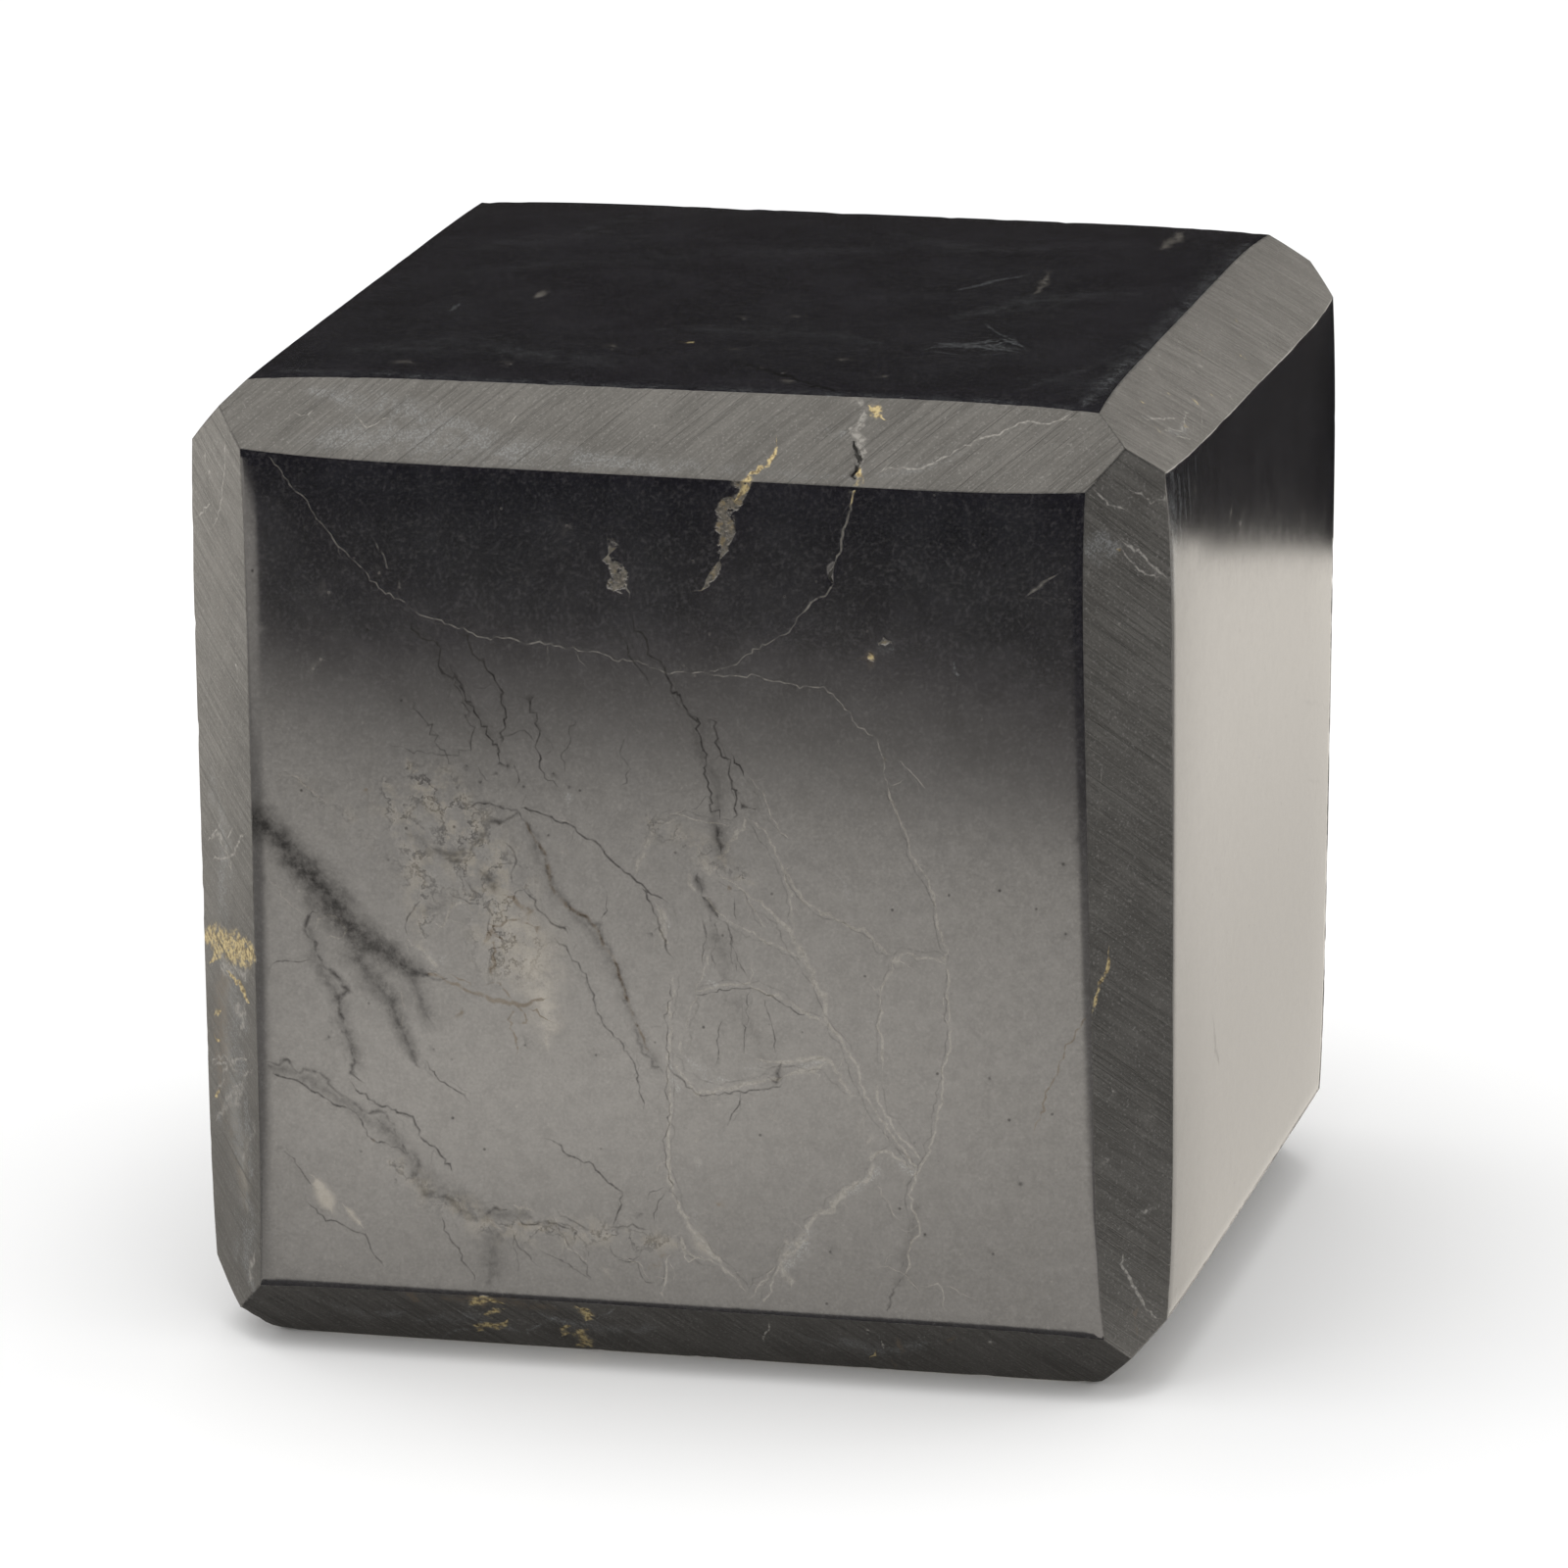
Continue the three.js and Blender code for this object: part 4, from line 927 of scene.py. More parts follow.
def mark_amount(mark, places_uv):
    """How much of a marking shows at each place, 0 to 1."""
    amount = np.zeros(len(places_uv))
    if "centres" in mark:
        for centre in mark["centres"]:
            gap = np.linalg.norm(places_uv - centre, axis=1)
            amount = np.maximum(amount, 1 - gap / (mark["size"] / 2 * 1.1))
        return np.clip(amount, 0, 1) * mark["strength"]
    points, half = mark["points"], mark["half"]
    reach = half.max() + 0.01
    above = places_uv > points.min(axis=0) - reach
    below = places_uv < points.max(axis=0) + reach
    near = np.all(above & below, axis=1)
    if not near.any():
        return amount
    gap, share = segment_distances(places_uv[near], points[:-1], points[1:])
    width = half[:-1] * (1 - share) + half[1:] * share
    amount[near] = np.clip(1 - gap / np.maximum(width, 1e-6), 0, 1).max(axis=1)
    return amount * mark["strength"]


def turned(way, angle):
    cosine, sine = math.cos(angle), math.sin(angle)
    return np.array([way[0] * cosine - way[1] * sine, way[0] * sine + way[1] * cosine])


def twigs_of(mark, dice):
    """Short side cracks along a line."""
    path = walked(mark["path"], TWIG_SPACING, dice, mark["wander"])
    made = []
    for i in range(len(path) - 1):
        if dice.uniform() < 0.5:
            continue
        ahead = path[i + 1] - path[i]
        ahead /= np.linalg.norm(ahead)
        way = turned(ahead, dice.choice([-1, 1]) * dice.uniform(0.4, 1.3))
        twig = [path[i]]
        for _ in range(dice.randint(1, 4)):
            way = turned(way, dice.normal(0, 0.5))
            twig.append(twig[-1] + way * dice.uniform(0.25, 0.6))
        width = min(0.13, 0.6 * np.max(mark["width"]))
        strength = mark["strength"] * dice.uniform(0.3, 0.7)
        made.append(as_line(mark["channel"], (width, 0.05), twig, strength, 0.04))
    return made


def strands_of(mark, dice):
    """Thin cracks that run beside a dark one."""
    width = np.max(mark["width"])
    path = walked(mark["path"], 0.8, dice, mark["wander"])
    square = sideways(path)
    made = []
    for _ in range(3 if width > 0.3 else 1):
        offset = dice.normal(0, 0.55 * width + 0.04, len(path))[:, None]
        first = dice.randint(0, max(1, len(path) // 2))
        last = len(path)
        if first + 2 < len(path) + 1:
            last = dice.randint(first + 2, len(path) + 1)
        beside = (path + square * offset)[first:last]
        if len(beside) > 1:
            made.append(as_line("dark", 0.12, beside, 0.45 * mark["strength"], 0.06))
    return made


def shadow_of(mark, dice):
    """A thin dark line along one side of a pale vein: a painted shadow of the vein."""
    path = walked(mark["path"], 0.5, dice, mark["wander"])
    side = dice.choice([-1, 1])
    offset = side * (0.1 + 0.5 * np.max(mark["width"])) + dice.normal(0, 0.05, len(path))
    return as_line("dark", 0.13, path + sideways(path) * offset[:, None], 0.55 * mark["strength"], 0.04)


def enriched(marks, dice):
    """The traced lines with the fine cracks that go with them, and a painted shadow line beside each pale
    vein.
    """
    more = []
    for mark in marks:
        if mark["channel"] not in ("pale", "dark") or "path" not in mark:
            continue
        if np.linalg.norm(mark["path"][-1] - mark["path"][0]) < SHORTEST_ENRICHED:
            continue
        more += twigs_of(mark, dice)
        if mark["channel"] == "dark":
            more += strands_of(mark, dice)
        else:
            # Each pale vein gets a painted shadow line along one side
            more.append(shadow_of(mark, dice))
    return marks + more


def signed_area(loop):
    u, v = loop.T
    return 0.5 * np.sum(u * np.roll(v, -1) - np.roll(u, -1) * v)


def inward(loop):
    """Unit vectors that point into a loop that runs anticlockwise, at each of its points."""
    before = loop - np.roll(loop, 1, axis=0)
    after = np.roll(loop, -1, axis=0) - loop
    before /= np.linalg.norm(before, axis=1, keepdims=True)
    after /= np.linalg.norm(after, axis=1, keepdims=True)
    turn = before + after
    turn /= np.linalg.norm(turn, axis=1, keepdims=True)
    square = np.stack([-turn[:, 1], turn[:, 0]], axis=1)
    miter = np.clip((square * np.stack([-before[:, 1], before[:, 0]], axis=1)).sum(axis=1), 0.4, 1)
    return square / miter[:, None]


def inside_depth(points, loop):
    """Distance into the loop from its border, below zero outside."""
    ends = np.roll(loop, -1, axis=0)
    gap, _ = segment_distances(points, loop, ends)
    u, v = points[:, 0][:, None], points[:, 1][:, None]
    crosses = (loop[:, 1] > v) != (ends[:, 1] > v)
    rise = np.where(np.abs(ends[:, 1] - loop[:, 1]) < 1e-12, 1e-12, ends[:, 1] - loop[:, 1])
    left = u < (ends[:, 0] - loop[:, 0]) * (v - loop[:, 1]) / rise + loop[:, 0]
    inside = (crosses & left).sum(axis=1) % 2 == 1
    return np.where(inside, 1, -1) * gap.min(axis=1)


def rim_ring(loop, points):
    """A second loop just inside the first, where the worn rim of a region ends."""
    widths = []
    for point in points:
        share = 0.5 + 0.9 * noise.noise(Vector(point) * 0.35) + 0.5 * noise.noise(Vector(point) * 1.7)
        widths.append(RIM_WIDTH[0] + (RIM_WIDTH[1] - RIM_WIDTH[0]) * min(1, max(0, share)))
    return loop + inward(loop) * np.array(widths)[:, None]


def kept_rows(row, loop, margin):
    """Parts of a row of points that lie well inside the loop."""
    fine = inside_depth(row, loop) > margin
    parts, part = [], []
    for point, keep in zip(row, fine):
        if keep:
            part.append(point)
        elif part:
            parts.append(part)
            part = []
    return parts + ([part] if part else [])


def scatter(loop, step, dice, taken):
    """Points spread over the inside of a loop, off the points that are already there."""
    low, high = loop.min(axis=0), loop.max(axis=0)
    rows = [np.arange(low[axis], high[axis], step) for axis in range(2)]
    grid = np.stack(np.meshgrid(*rows), axis=2)
    grid = grid.reshape(-1, 2) + dice.uniform(-0.28, 0.28, (grid.size // 2, 2)) * step
    grid = grid[inside_depth(grid, loop) > step * 0.4]
    far = np.ones(len(grid), bool)
    for start in range(0, len(taken), 2000):
        part = taken[start:start + 2000]
        gaps = np.linalg.norm(grid[:, None] - part[None], axis=2).min(axis=1)
        far &= gaps > step * 0.3
    return grid[far]


def add_mark_points(marks, loop, verts, edges, dice):
    """Traces the markings of a region, and adds their points and the edges along their rows."""
    margin = RIM_WIDTH[1] + 0.05
    for mark in marks:
        trace_mark(mark, dice)
        for row in [part for row in mark["rows"] for part in kept_rows(row, loop, margin)]:
            edges += [(len(verts) + i, len(verts) + i + 1) for i in range(len(row) - 1)]
            verts += row
        if len(mark["loose"]):
            verts += list(mark["loose"][inside_depth(mark["loose"], loop) > margin])


def sheet_ids(region, coords, origins, outline_ids):
    """Ids of a sheet's points. Those on the outline are shared, and the others are new."""
    start = len(stone_points)
    ids = []
    new_uv = []
    for place, origin in zip(coords, origins):
        on_border = [i for i in origin if i < len(outline_ids)]
        if on_border:
            ids.append(outline_ids[on_border[0]])
        else:
            ids.append(start + len(new_uv))
            new_uv.append(tuple(place))
    add_points(region.lifted(np.array(new_uv)))
    return ids


def sheet_of(region, outline_ids, dice):
    """Triangles over one region: its point ids, the u, v of each and faces by point id."""
    border_points = np.array([stone_points[i] for i in outline_ids])
    loop = region.flat(border_points)
    if signed_area(loop) < 0:
        loop, border_points, outline_ids = loop[::-1], border_points[::-1], outline_ids[::-1]
    ring = rim_ring(loop, border_points)
    verts = [*loop, *ring]
    count = len(loop)
    edges = [(count + i, count + (i + 1) % count) for i in range(count)]
    if not region.is_bevel:
        for reach in EDGE_RINGS:
            verts += list((loop + reach * inward(loop))[::2])
    add_mark_points(MARKS[region.name], loop, verts, edges, dice)
    step = BEVEL_STEP if region.is_bevel else FACE_STEP
    verts += list(scatter(loop, step, dice, np.array(verts)))
    flat_verts = [Vector(point) for point in verts]
    made = delaunay_2d_cdt(flat_verts, edges, [list(range(count))], 1, 1e-5)
    coords, triangles, origins = made[0], made[2], made[3]
    ids = sheet_ids(region, coords, origins, outline_ids)
    mirrored = np.cross(region.u_way, region.v_way) @ region.out < 0
    faces = [(ids[a], ids[c], ids[b]) if mirrored else (ids[a], ids[b], ids[c]) for a, b, c in triangles]
    places_uv = np.array([tuple(place) for place in coords])
    return {"ids": np.array(ids), "uv": places_uv, "faces": faces, "loop": loop}


outlines = {name: face_outline(name) if name in FACES else bevel_outline(name) for name in regions}
border_count = len(stone_points)
dice = np.random.RandomState(7)
for name in FACES:
    MARKS[name] = enriched(MARKS[name], dice)
sheets = {name: sheet_of(regions[name], outlines[name], dice) for name in regions}
points = np.array(stone_points)


# How much of each kind of marking shows at each point, and how each point looks out

def edge_roll(region, places_uv, loop):
    """How far each place near the border leans outwards, as a vector, and how deep it lies."""
    ends = np.roll(loop, -1, axis=0)
    gap, share = segment_distances(places_uv, loop, ends)
    nearest = gap.argmin(axis=1)
    share = share[np.arange(len(gap)), nearest][:, None]
    foot = loop[nearest] * (1 - share) + ends[nearest] * share
    gap = gap.min(axis=1)
    closeness = np.maximum(0, 1 - gap / EDGE_REACH)
    way = (foot - places_uv) / np.maximum(gap, 1e-6)[:, None]
    outwards = way[:, :1] * region.u_way + way[:, 1:] * region.v_way
    tilt = math.tan(EDGE_TILT) * closeness ** EDGE_POWER
    depth = math.tan(EDGE_TILT) * EDGE_REACH / (EDGE_POWER + 1) * closeness ** (EDGE_POWER + 1)
    return outwards * tilt[:, None], depth


amounts = {channel: np.zeros(len(points)) for channel in CHANNELS}
depths = np.zeros(len(points))
looks_out = np.zeros((len(points), 3))
for name, sheet in sheets.items():
    for mark in MARKS[name]:
        amount = mark_amount(mark, sheet["uv"])
        np.maximum.at(amounts[mark["channel"]], sheet["ids"], amount)
    ways = regions[name].surface.normals(points[sheet["ids"]])
    if name in FACES:
        lean, sunk = edge_roll(regions[name], sheet["uv"], sheet["loop"])
        inner = sheet["ids"] >= border_count
        ways[inner] += lean[inner]
        depths[sheet["ids"][inner]] += sunk[inner]
    looks_out[sheet["ids"]] += ways
looks_out /= np.linalg.norm(looks_out, axis=1, keepdims=True)


# Real depth: rounded and chipped borders, pits and the beds of the golden patches

def chip_depths():
    """How deep the wear along the borders is, at each point of the stone."""
    shallow, deep = CHIP_DEPTH
    chips = np.zeros(len(points))
    for i in range(border_count):
        place = Vector(points[i])
        share = max(0, noise.noise(place * 0.9) + 0.55 * noise.noise(place * 2.3) - 0.22)
        chips[i] = shallow + (deep - shallow) * min(1, 2.2 * share)
    return chips


def vertex_normals(at, triangles):
    """The way the mesh looks at each point, from the triangles round it."""
    a, b, c = at[triangles[:, 0]], at[triangles[:, 1]], at[triangles[:, 2]]
    face_normals = np.cross(b - a, c - a)
    total = np.zeros_like(at)
    for k in range(3):
        np.add.at(total, triangles[:, k], face_normals)
    return total / np.maximum(np.linalg.norm(total, axis=1, keepdims=True), 1e-12)


triangles = np.array([face for sheet in sheets.values() for face in sheet["faces"]])
depths += chip_depths()
carving = sum(depth * amounts[channel] for channel, depth in MARK_DEPTHS.items())
rounded = points - looks_out * depths[:, None]
worn = rounded - looks_out * carving[:, None]
change = vertex_normals(worn, triangles) - vertex_normals(rounded, triangles)
change[:border_count] = 0
shading = looks_out + change
shading /= np.linalg.norm(shading, axis=1, keepdims=True)

low, high = points.min(axis=0), points.max(axis=0)
placed = worn + [-(low[0] + high[0]) / 2, -(low[1] + high[1]) / 2, HALF_HEIGHT]


# The mesh

mesh = bpy.data.meshes.new("shungite_stone")
mesh.from_pydata([tuple(p) for p in placed * MM], [], triangles.tolist())
mesh.validate()
stone = bpy.data.objects.new("shungite_stone", mesh)
bpy.context.scene.collection.objects.link(stone)
mesh.shade_smooth()
mesh.normals_split_custom_set_from_vertices([tuple(n) for n in shading])
for channel in CHANNELS:
    layer = mesh.attributes.new(channel, "FLOAT", "POINT")
    layer.data.foreach_set("value", amounts[channel].astype(np.float32))

# Grinding coordinates, in millimetres: x runs along the lines on a bevel and y across them.
# Each region lies apart from the others, so that their lines differ
REGION_GAP = 60
grind = mesh.uv_layers.new(name="grind")
grind_uv = np.zeros((len(mesh.loops), 2), np.float32)
first = 0
for order, (name, sheet) in enumerate(sheets.items()):
    ids = np.array(sheet["faces"]).ravel()
    uv = regions[name].flat(points[ids])
    if name in BEVELS:
        slope = BEVELS[name][4]
        way = np.array([1, slope]) / math.hypot(1, slope)
        uv = np.stack([uv @ way, uv @ [-way[1], way[0]]], axis=1)
    grind_uv[first:first + len(ids)] = uv + REGION_GAP * order
    first += len(ids)
grind.data.foreach_set("uv", grind_uv.ravel())

material_ids = []
for name, sheet in sheets.items():
    material_ids += [1 if name in BEVELS else 0] * len(sheet["faces"])


# Materials

class Shader:
    """A short way to write a material's nodes."""

    def __init__(self, name):
        self.material = bpy.data.materials.new(name)
        self.material.use_nodes = True
        self.nodes = self.material.node_tree.nodes
        self.links = self.material.node_tree.links
        self.surface = self.nodes["Principled BSDF"]

    def put(self, socket, value):
        if isinstance(value, bpy.types.NodeSocket):
            self.links.new(value, socket)
        elif value is not None:
            socket.default_value = value

    def add(self, kind, **settings):
        node = self.nodes.new(kind)
        for key, value in settings.items():
            setattr(node, key, value)
        return node

    def attribute(self, name):
        return self.add("ShaderNodeAttribute", attribute_name=name).outputs["Fac"]

    def math(self, operation, a, b=None):
        node = self.add("ShaderNodeMath", operation=operation)
        for socket, value in zip(node.inputs, (a, b)):
            self.put(socket, value)
        return node.outputs[0]

    def times(self, a, b):
        return self.math("MULTIPLY", a, b)

    def plus(self, a, b):
        return self.math("ADD", a, b)

    def larger(self, a, b):
        return self.math("MAXIMUM", a, b)

    def gap(self, a, b):
        return self.math("ABSOLUTE", self.math("SUBTRACT", a, b))

    def ramp(self, value, low, high, to_low=0.0, to_high=1.0):
        """A soft step from one level to another between two values."""
        node = self.add("ShaderNodeMapRange", interpolation_type="SMOOTHSTEP")
        inputs = {"Value": value, "From Min": low, "From Max": high, "To Min": to_low, "To Max": to_high}
        for key, number in inputs.items():
            self.put(node.inputs[key], number)
        return node.outputs[0]

    def mix(self, share, a, b):
        node = self.add("ShaderNodeMix", data_type="RGBA")
        self.put(node.inputs[0], share)
        self.put(node.inputs[6], a)
        self.put(node.inputs[7], b)
        return node.outputs[2]

    def stone_place(self, stretch=(1, 1, 1)):
        """Place on the stone in millimetres."""
        place = self.add("ShaderNodeTexCoord").outputs["Object"]
        node = self.add("ShaderNodeMapping")
        self.put(node.inputs["Vector"], place)
        node.inputs["Scale"].default_value = [1000 * value for value in stretch]
        return node.outputs[0]

    def grind_place(self, stretch):
        place = self.add("ShaderNodeUVMap", uv_map="grind").outputs[0]
        node = self.add("ShaderNodeMapping")
        self.put(node.inputs["Vector"], place)
        node.inputs["Scale"].default_value = (*stretch, 1)
        return node.outputs[0]

    def noise(self, place, scale, detail=3.0, rough=0.55):
        node = self.add("ShaderNodeTexNoise")
        self.put(node.inputs["Vector"], place)
        node.inputs["Scale"].default_value = scale
        node.inputs["Detail"].default_value = detail
        node.inputs["Roughness"].default_value = rough
        return node.outputs["Fac"]

    def cells(self, place, scale, feature="DISTANCE_TO_EDGE"):
        node = self.add("ShaderNodeTexVoronoi", feature=feature)
        self.put(node.inputs["Vector"], place)
        node.inputs["Scale"].default_value = scale
        return node.outputs["Distance"]

    def bump(self, height, distance_mm, strength=1.0, under=None):
        """A normal that follows a height, laid over the normal under it if one is given."""
        node = self.add("ShaderNodeBump")
        self.put(node.inputs["Height"], height)
        node.inputs["Distance"].default_value = distance_mm * MM
        node.inputs["Strength"].default_value = strength
        self.put(node.inputs["Normal"], under)
        return node.outputs["Normal"]


# How strongly the stone mirrors
IOR = 2.1

# Colours of the stone and of what lies in it
STONE_DARK = (0.0065, 0.0062, 0.0098, 1)
STONE_LIGHT = (0.0135, 0.0132, 0.0175, 1)
GROUND_DARK = (0.011, 0.0105, 0.01, 1)
GROUND_LIGHT = (0.042, 0.04, 0.037, 1)
PALE = (0.2, 0.19, 0.172, 1)
POLISHED_PALE = (0.125, 0.116, 0.103, 1)
GOLD = (0.52, 0.42, 0.21, 1)
TAN = (0.15, 0.135, 0.11, 1)
ASH = (0.055, 0.051, 0.044, 1)
RUST = (0.19, 0.145, 0.07, 1)
BROWN = (0.06, 0.042, 0.024, 1)
HAZE = (0.1, 0.105, 0.108, 1)
CREAM = (0.19, 0.168, 0.135, 1)
BLACK = (0.004, 0.004, 0.004, 1)
DULL_PALE = (0.06, 0.056, 0.05, 1)
DULL_GOLD = (0.16, 0.115, 0.05, 1)
GREY_GRAIN = (0.06, 0.057, 0.058, 1)
WHITE_GRAIN = (0.15, 0.148, 0.142, 1)
CLOUDED = (0.105, 0.09, 0.066, 1)

# Each marking's uneven edge: the grain of its noise, the amounts where it starts and is full,
# and what is left of it in its thin places
BREAKS = {
    "pale": (2.2, 0.0, 0.75, 0.35),
    "gold": (3, 0.08, 0.7, 0.2),
    "brown": (2.2, 0.08, 0.9, 0.35),
    "haze": (1.3, 0.03, 1.3, 0.35),
    "pit": (3, 0.15, 0.4, 0.35),
    "crumb": (3, 0.06, 0.7, 0.2),
    "dark": (2.2, 0.0, 1.45, 0.8),
}


def broken(shader, channel):
    """A marking with an uneven edge and thin places along it."""
    grain, low, high, thin = BREAKS[channel]
    wobble = shader.noise(shader.stone_place(), grain, 4)
    lifted = shader.times(shader.attribute(channel), shader.ramp(wobble, 0.3, 0.65, thin, 1.5))
    return shader.ramp(lifted, low, high)


def dots(shader, spacing, radius, share):
    """Tiny specks, a spacing apart, over a share of the stone."""
    place = shader.stone_place()
    near = shader.cells(place, 1 / spacing, "F1")
    where = shader.ramp(shader.noise(place, 0.45, 1), 1 - share, 1.05 - share)
    return shader.times(shader.ramp(near, radius, radius * 0.4), where)


def marked_colour(shader, base, pale_tone):
    """Lays all markings but the dark ones over the plain stone. Gives the colour and each amount."""
    place = shader.stone_place()
    amount = {channel: broken(shader, channel) for channel in BREAKS if channel != "dark"}
    crumbs = shader.noise(place, 5, 4, 0.65)
    grains = shader.ramp(shader.noise(place, 9, 2, 0.5), 0.5, 0.62, 0.3, 1.6)
    clouds = shader.ramp(shader.noise(place, 1.1, 5, 0.65), 0.34, 0.62, 0.45, 1.0)
    cream = shader.ramp(shader.times(shader.attribute("cream"), clouds), 0.0, 1.1, 0.0, 0.8)
    colour = shader.mix(cream, base, CREAM)
    colour = shader.mix(shader.times(amount["haze"], grains), colour, HAZE)
    colour = shader.mix(shader.times(amount["brown"], 0.9), colour, BROWN)
    pale_colour = shader.mix(shader.ramp(crumbs, 0.42, 0.66), pale_tone, DULL_PALE)
    colour = shader.mix(amount["pale"], colour, pale_colour)
    specks = shader.larger(dots(shader, 1.7, 0.06, 0.5), dots(shader, 0.8, 0.09, 0.45))
    colour = shader.mix(shader.times(specks, 0.4), colour, pale_tone)
    crumb_colour = shader.mix(shader.ramp(crumbs, 0.36, 0.62), ASH, TAN)
    rust = shader.ramp(shader.noise(place, 2.2, 3), 0.56, 0.62, 0, 0.7)
    crumb_colour = shader.mix(rust, crumb_colour, RUST)
    colour = shader.mix(amount["crumb"], colour, crumb_colour)
    gold_colour = shader.mix(shader.ramp(crumbs, 0.44, 0.62), GOLD, DULL_GOLD)
    colour = shader.mix(amount["gold"], colour, gold_colour)
    colour = shader.mix(amount["pit"], colour, BLACK)
    return colour, amount


# How much of the mirror image each marking swallows, and the lowest share of a metallic gold
SWALLOWS = {"dark": 0.72, "smudge": 0.74, "network": 0.45, "flecks": 0.5, "brown": 0.32, "crumb": 0.5}
GOLD_METAL = 0.55

# How much rougher each marking is than polished stone
ROUGHER = {"pale": 0.12, "gold": 0.2, "pit": 0.6, "crumb": 0.35, "brown": 0.1}
DULL_ROUGHER = 0.12


def network_lines(shader, place, level, width):
    """Thin lines that wander as the contours of a noise."""
    wandering = shader.noise(place, 0.5, 6, 0.68)
    return shader.ramp(shader.gap(wandering, level), width, 0.0)


def dulled(shader, place, patch):
    """How much the dark veins, smudges, cracks and specks swallow the mirror image."""
    inside = shader.ramp(shader.noise(place, 2.6, 5, 0.65), 0.34, 0.62, 1.0, 0.75)
    dark = shader.times(broken(shader, "dark"), inside)
    cloud = shader.ramp(shader.noise(place, 1.9, 6, 0.7), 0.34, 0.64, 1.2, 0.78)
    shares = {
        "dark": dark,
        "smudge": shader.ramp(shader.times(shader.attribute("smudge"), cloud), 0.0, 1.2),
        "network": shader.times(network_lines(shader, place, 0.5, 0.03), patch),
        "flecks": dots(shader, 1.3, 0.085, 0.5),
    }
    dull = 0.0
    for marking, share in shares.items():
        dull = shader.larger(shader.times(share, SWALLOWS[marking]), dull)
    weave = shader.plus(shader.noise(place, 6, 3, 0.8), shader.noise(place, 1.2, 6, 0.7))
    return shader.plus(dull, shader.ramp(weave, 0.8, 1.25, 0.0, 0.15))


def polished_base(shader, place, grain):
    """Plain polished stone: nearly black, with faint clouds and grey grains."""
    cloud = shader.noise(place, 0.25, 7, 0.62)
    base = shader.mix(shader.ramp(cloud, 0.35, 0.68), STONE_DARK, STONE_LIGHT)
    return shader.mix(shader.ramp(grain, 0.46, 0.72, 0, 0.55), base, GREY_GRAIN)


def mottled(shader, place, colour, patch):
    """Lays brownish clouds and pale threads over the mottled patches."""
    blotches = shader.ramp(shader.noise(place, 0.9, 6, 0.65), 0.44, 0.62, 0, 0.7)
    colour = shader.mix(shader.times(blotches, patch), colour, CLOUDED)
    threads = shader.times(network_lines(shader, place, 0.535, 0.016), patch)
    return shader.mix(shader.times(threads, 0.4), colour, POLISHED_PALE)


def polished_roughness(shader, place, grain, dull, amount):
    rough = shader.ramp(shader.noise(place, 0.5, 5), 0.35, 0.7, 0.112, 0.13)
    rough = shader.plus(rough, shader.ramp(grain, 0.3, 0.7, 0.006, -0.006))
    rough = shader.plus(rough, shader.times(dull, DULL_ROUGHER))
    for marking, weight in ROUGHER.items():
        rough = shader.plus(rough, shader.times(amount[marking], weight))
    return rough


def polished_metallic(shader, dull, amount):
    """A dark metal mirrors little: the dark marks are made so. Gold is partly metal too."""
    swallowed = shader.plus(dull, shader.times(amount["brown"], SWALLOWS["brown"]))
    swallowed = shader.plus(swallowed, shader.times(amount["crumb"], SWALLOWS["crumb"]))
    return shader.larger(swallowed, shader.times(amount["gold"], GOLD_METAL))


def polished_material():
    shader = Shader("polished_shungite")
    place = shader.stone_place()
    grain = shader.noise(place, 5, 4, 0.7)
    colour, amount = marked_colour(shader, polished_base(shader, place, grain), POLISHED_PALE)
    patch = shader.ramp(shader.attribute("mottle"), 0.05, 0.8)
    dull = dulled(shader, place, patch)
    colour = mottled(shader, place, colour, patch)
    colour = shader.mix(shader.times(dull, 0.9), colour, BLACK)
    shader.put(shader.surface.inputs["Base Color"], colour)
    shader.put(shader.surface.inputs["Roughness"], polished_roughness(shader, place, grain, dull, amount))
    shader.put(shader.surface.inputs["Metallic"], polished_metallic(shader, dull, amount))
    shader.surface.inputs["IOR"].default_value = IOR
    rubble = shader.times(shader.larger(amount["crumb"], amount["gold"]), shader.noise(place, 6, 4))
    shader.put(shader.surface.inputs["Normal"], shader.bump(rubble, 0.06))
    return shader.material


def ground_material():
    shader = Shader("ground_shungite")
    place = shader.stone_place()
    coarse = shader.noise(shader.grind_place((0.12, 3.2)), 1, 4, 0.75)
    fine = shader.noise(shader.grind_place((0.22, 9)), 1, 4, 0.7)
    scores = shader.ramp(shader.noise(shader.grind_place((0.05, 3.4)), 1, 3, 0.8), 0.55, 0.64)
    lines = shader.plus(shader.times(coarse, 0.5), shader.times(fine, 0.5))
    grain = shader.noise(place, 8, 3, 0.65)
    cloud = shader.noise(place, 0.35, 5)
    tone = shader.plus(shader.times(lines, 0.62), shader.times(grain, 0.2))
    tone = shader.plus(tone, shader.times(cloud, 0.18))
    base = shader.mix(shader.ramp(tone, 0.42, 0.6), GROUND_DARK, GROUND_LIGHT)
    base = shader.mix(shader.ramp(grain, 0.58, 0.68, 0, 0.5), base, WHITE_GRAIN)
    colour, amount = marked_colour(shader, base, PALE)
    colour = shader.mix(shader.times(scores, 0.6), colour, BLACK)
    rough = shader.ramp(tone, 0.4, 0.6, 0.54, 0.42)
    rough = shader.plus(rough, shader.times(amount["pit"], 0.4))
    shader.put(shader.surface.inputs["Base Color"], colour)
    shader.put(shader.surface.inputs["Roughness"], rough)
    shader.put(shader.surface.inputs["Metallic"], shader.times(amount["gold"], GOLD_METAL))
    shader.surface.inputs["IOR"].default_value = IOR
    carved = shader.math("SUBTRACT", lines, shader.times(scores, 0.25))
    normal = shader.bump(carved, 0.035)
    shader.put(shader.surface.inputs["Normal"], shader.bump(grain, 0.006, 1, normal))
    return shader.material


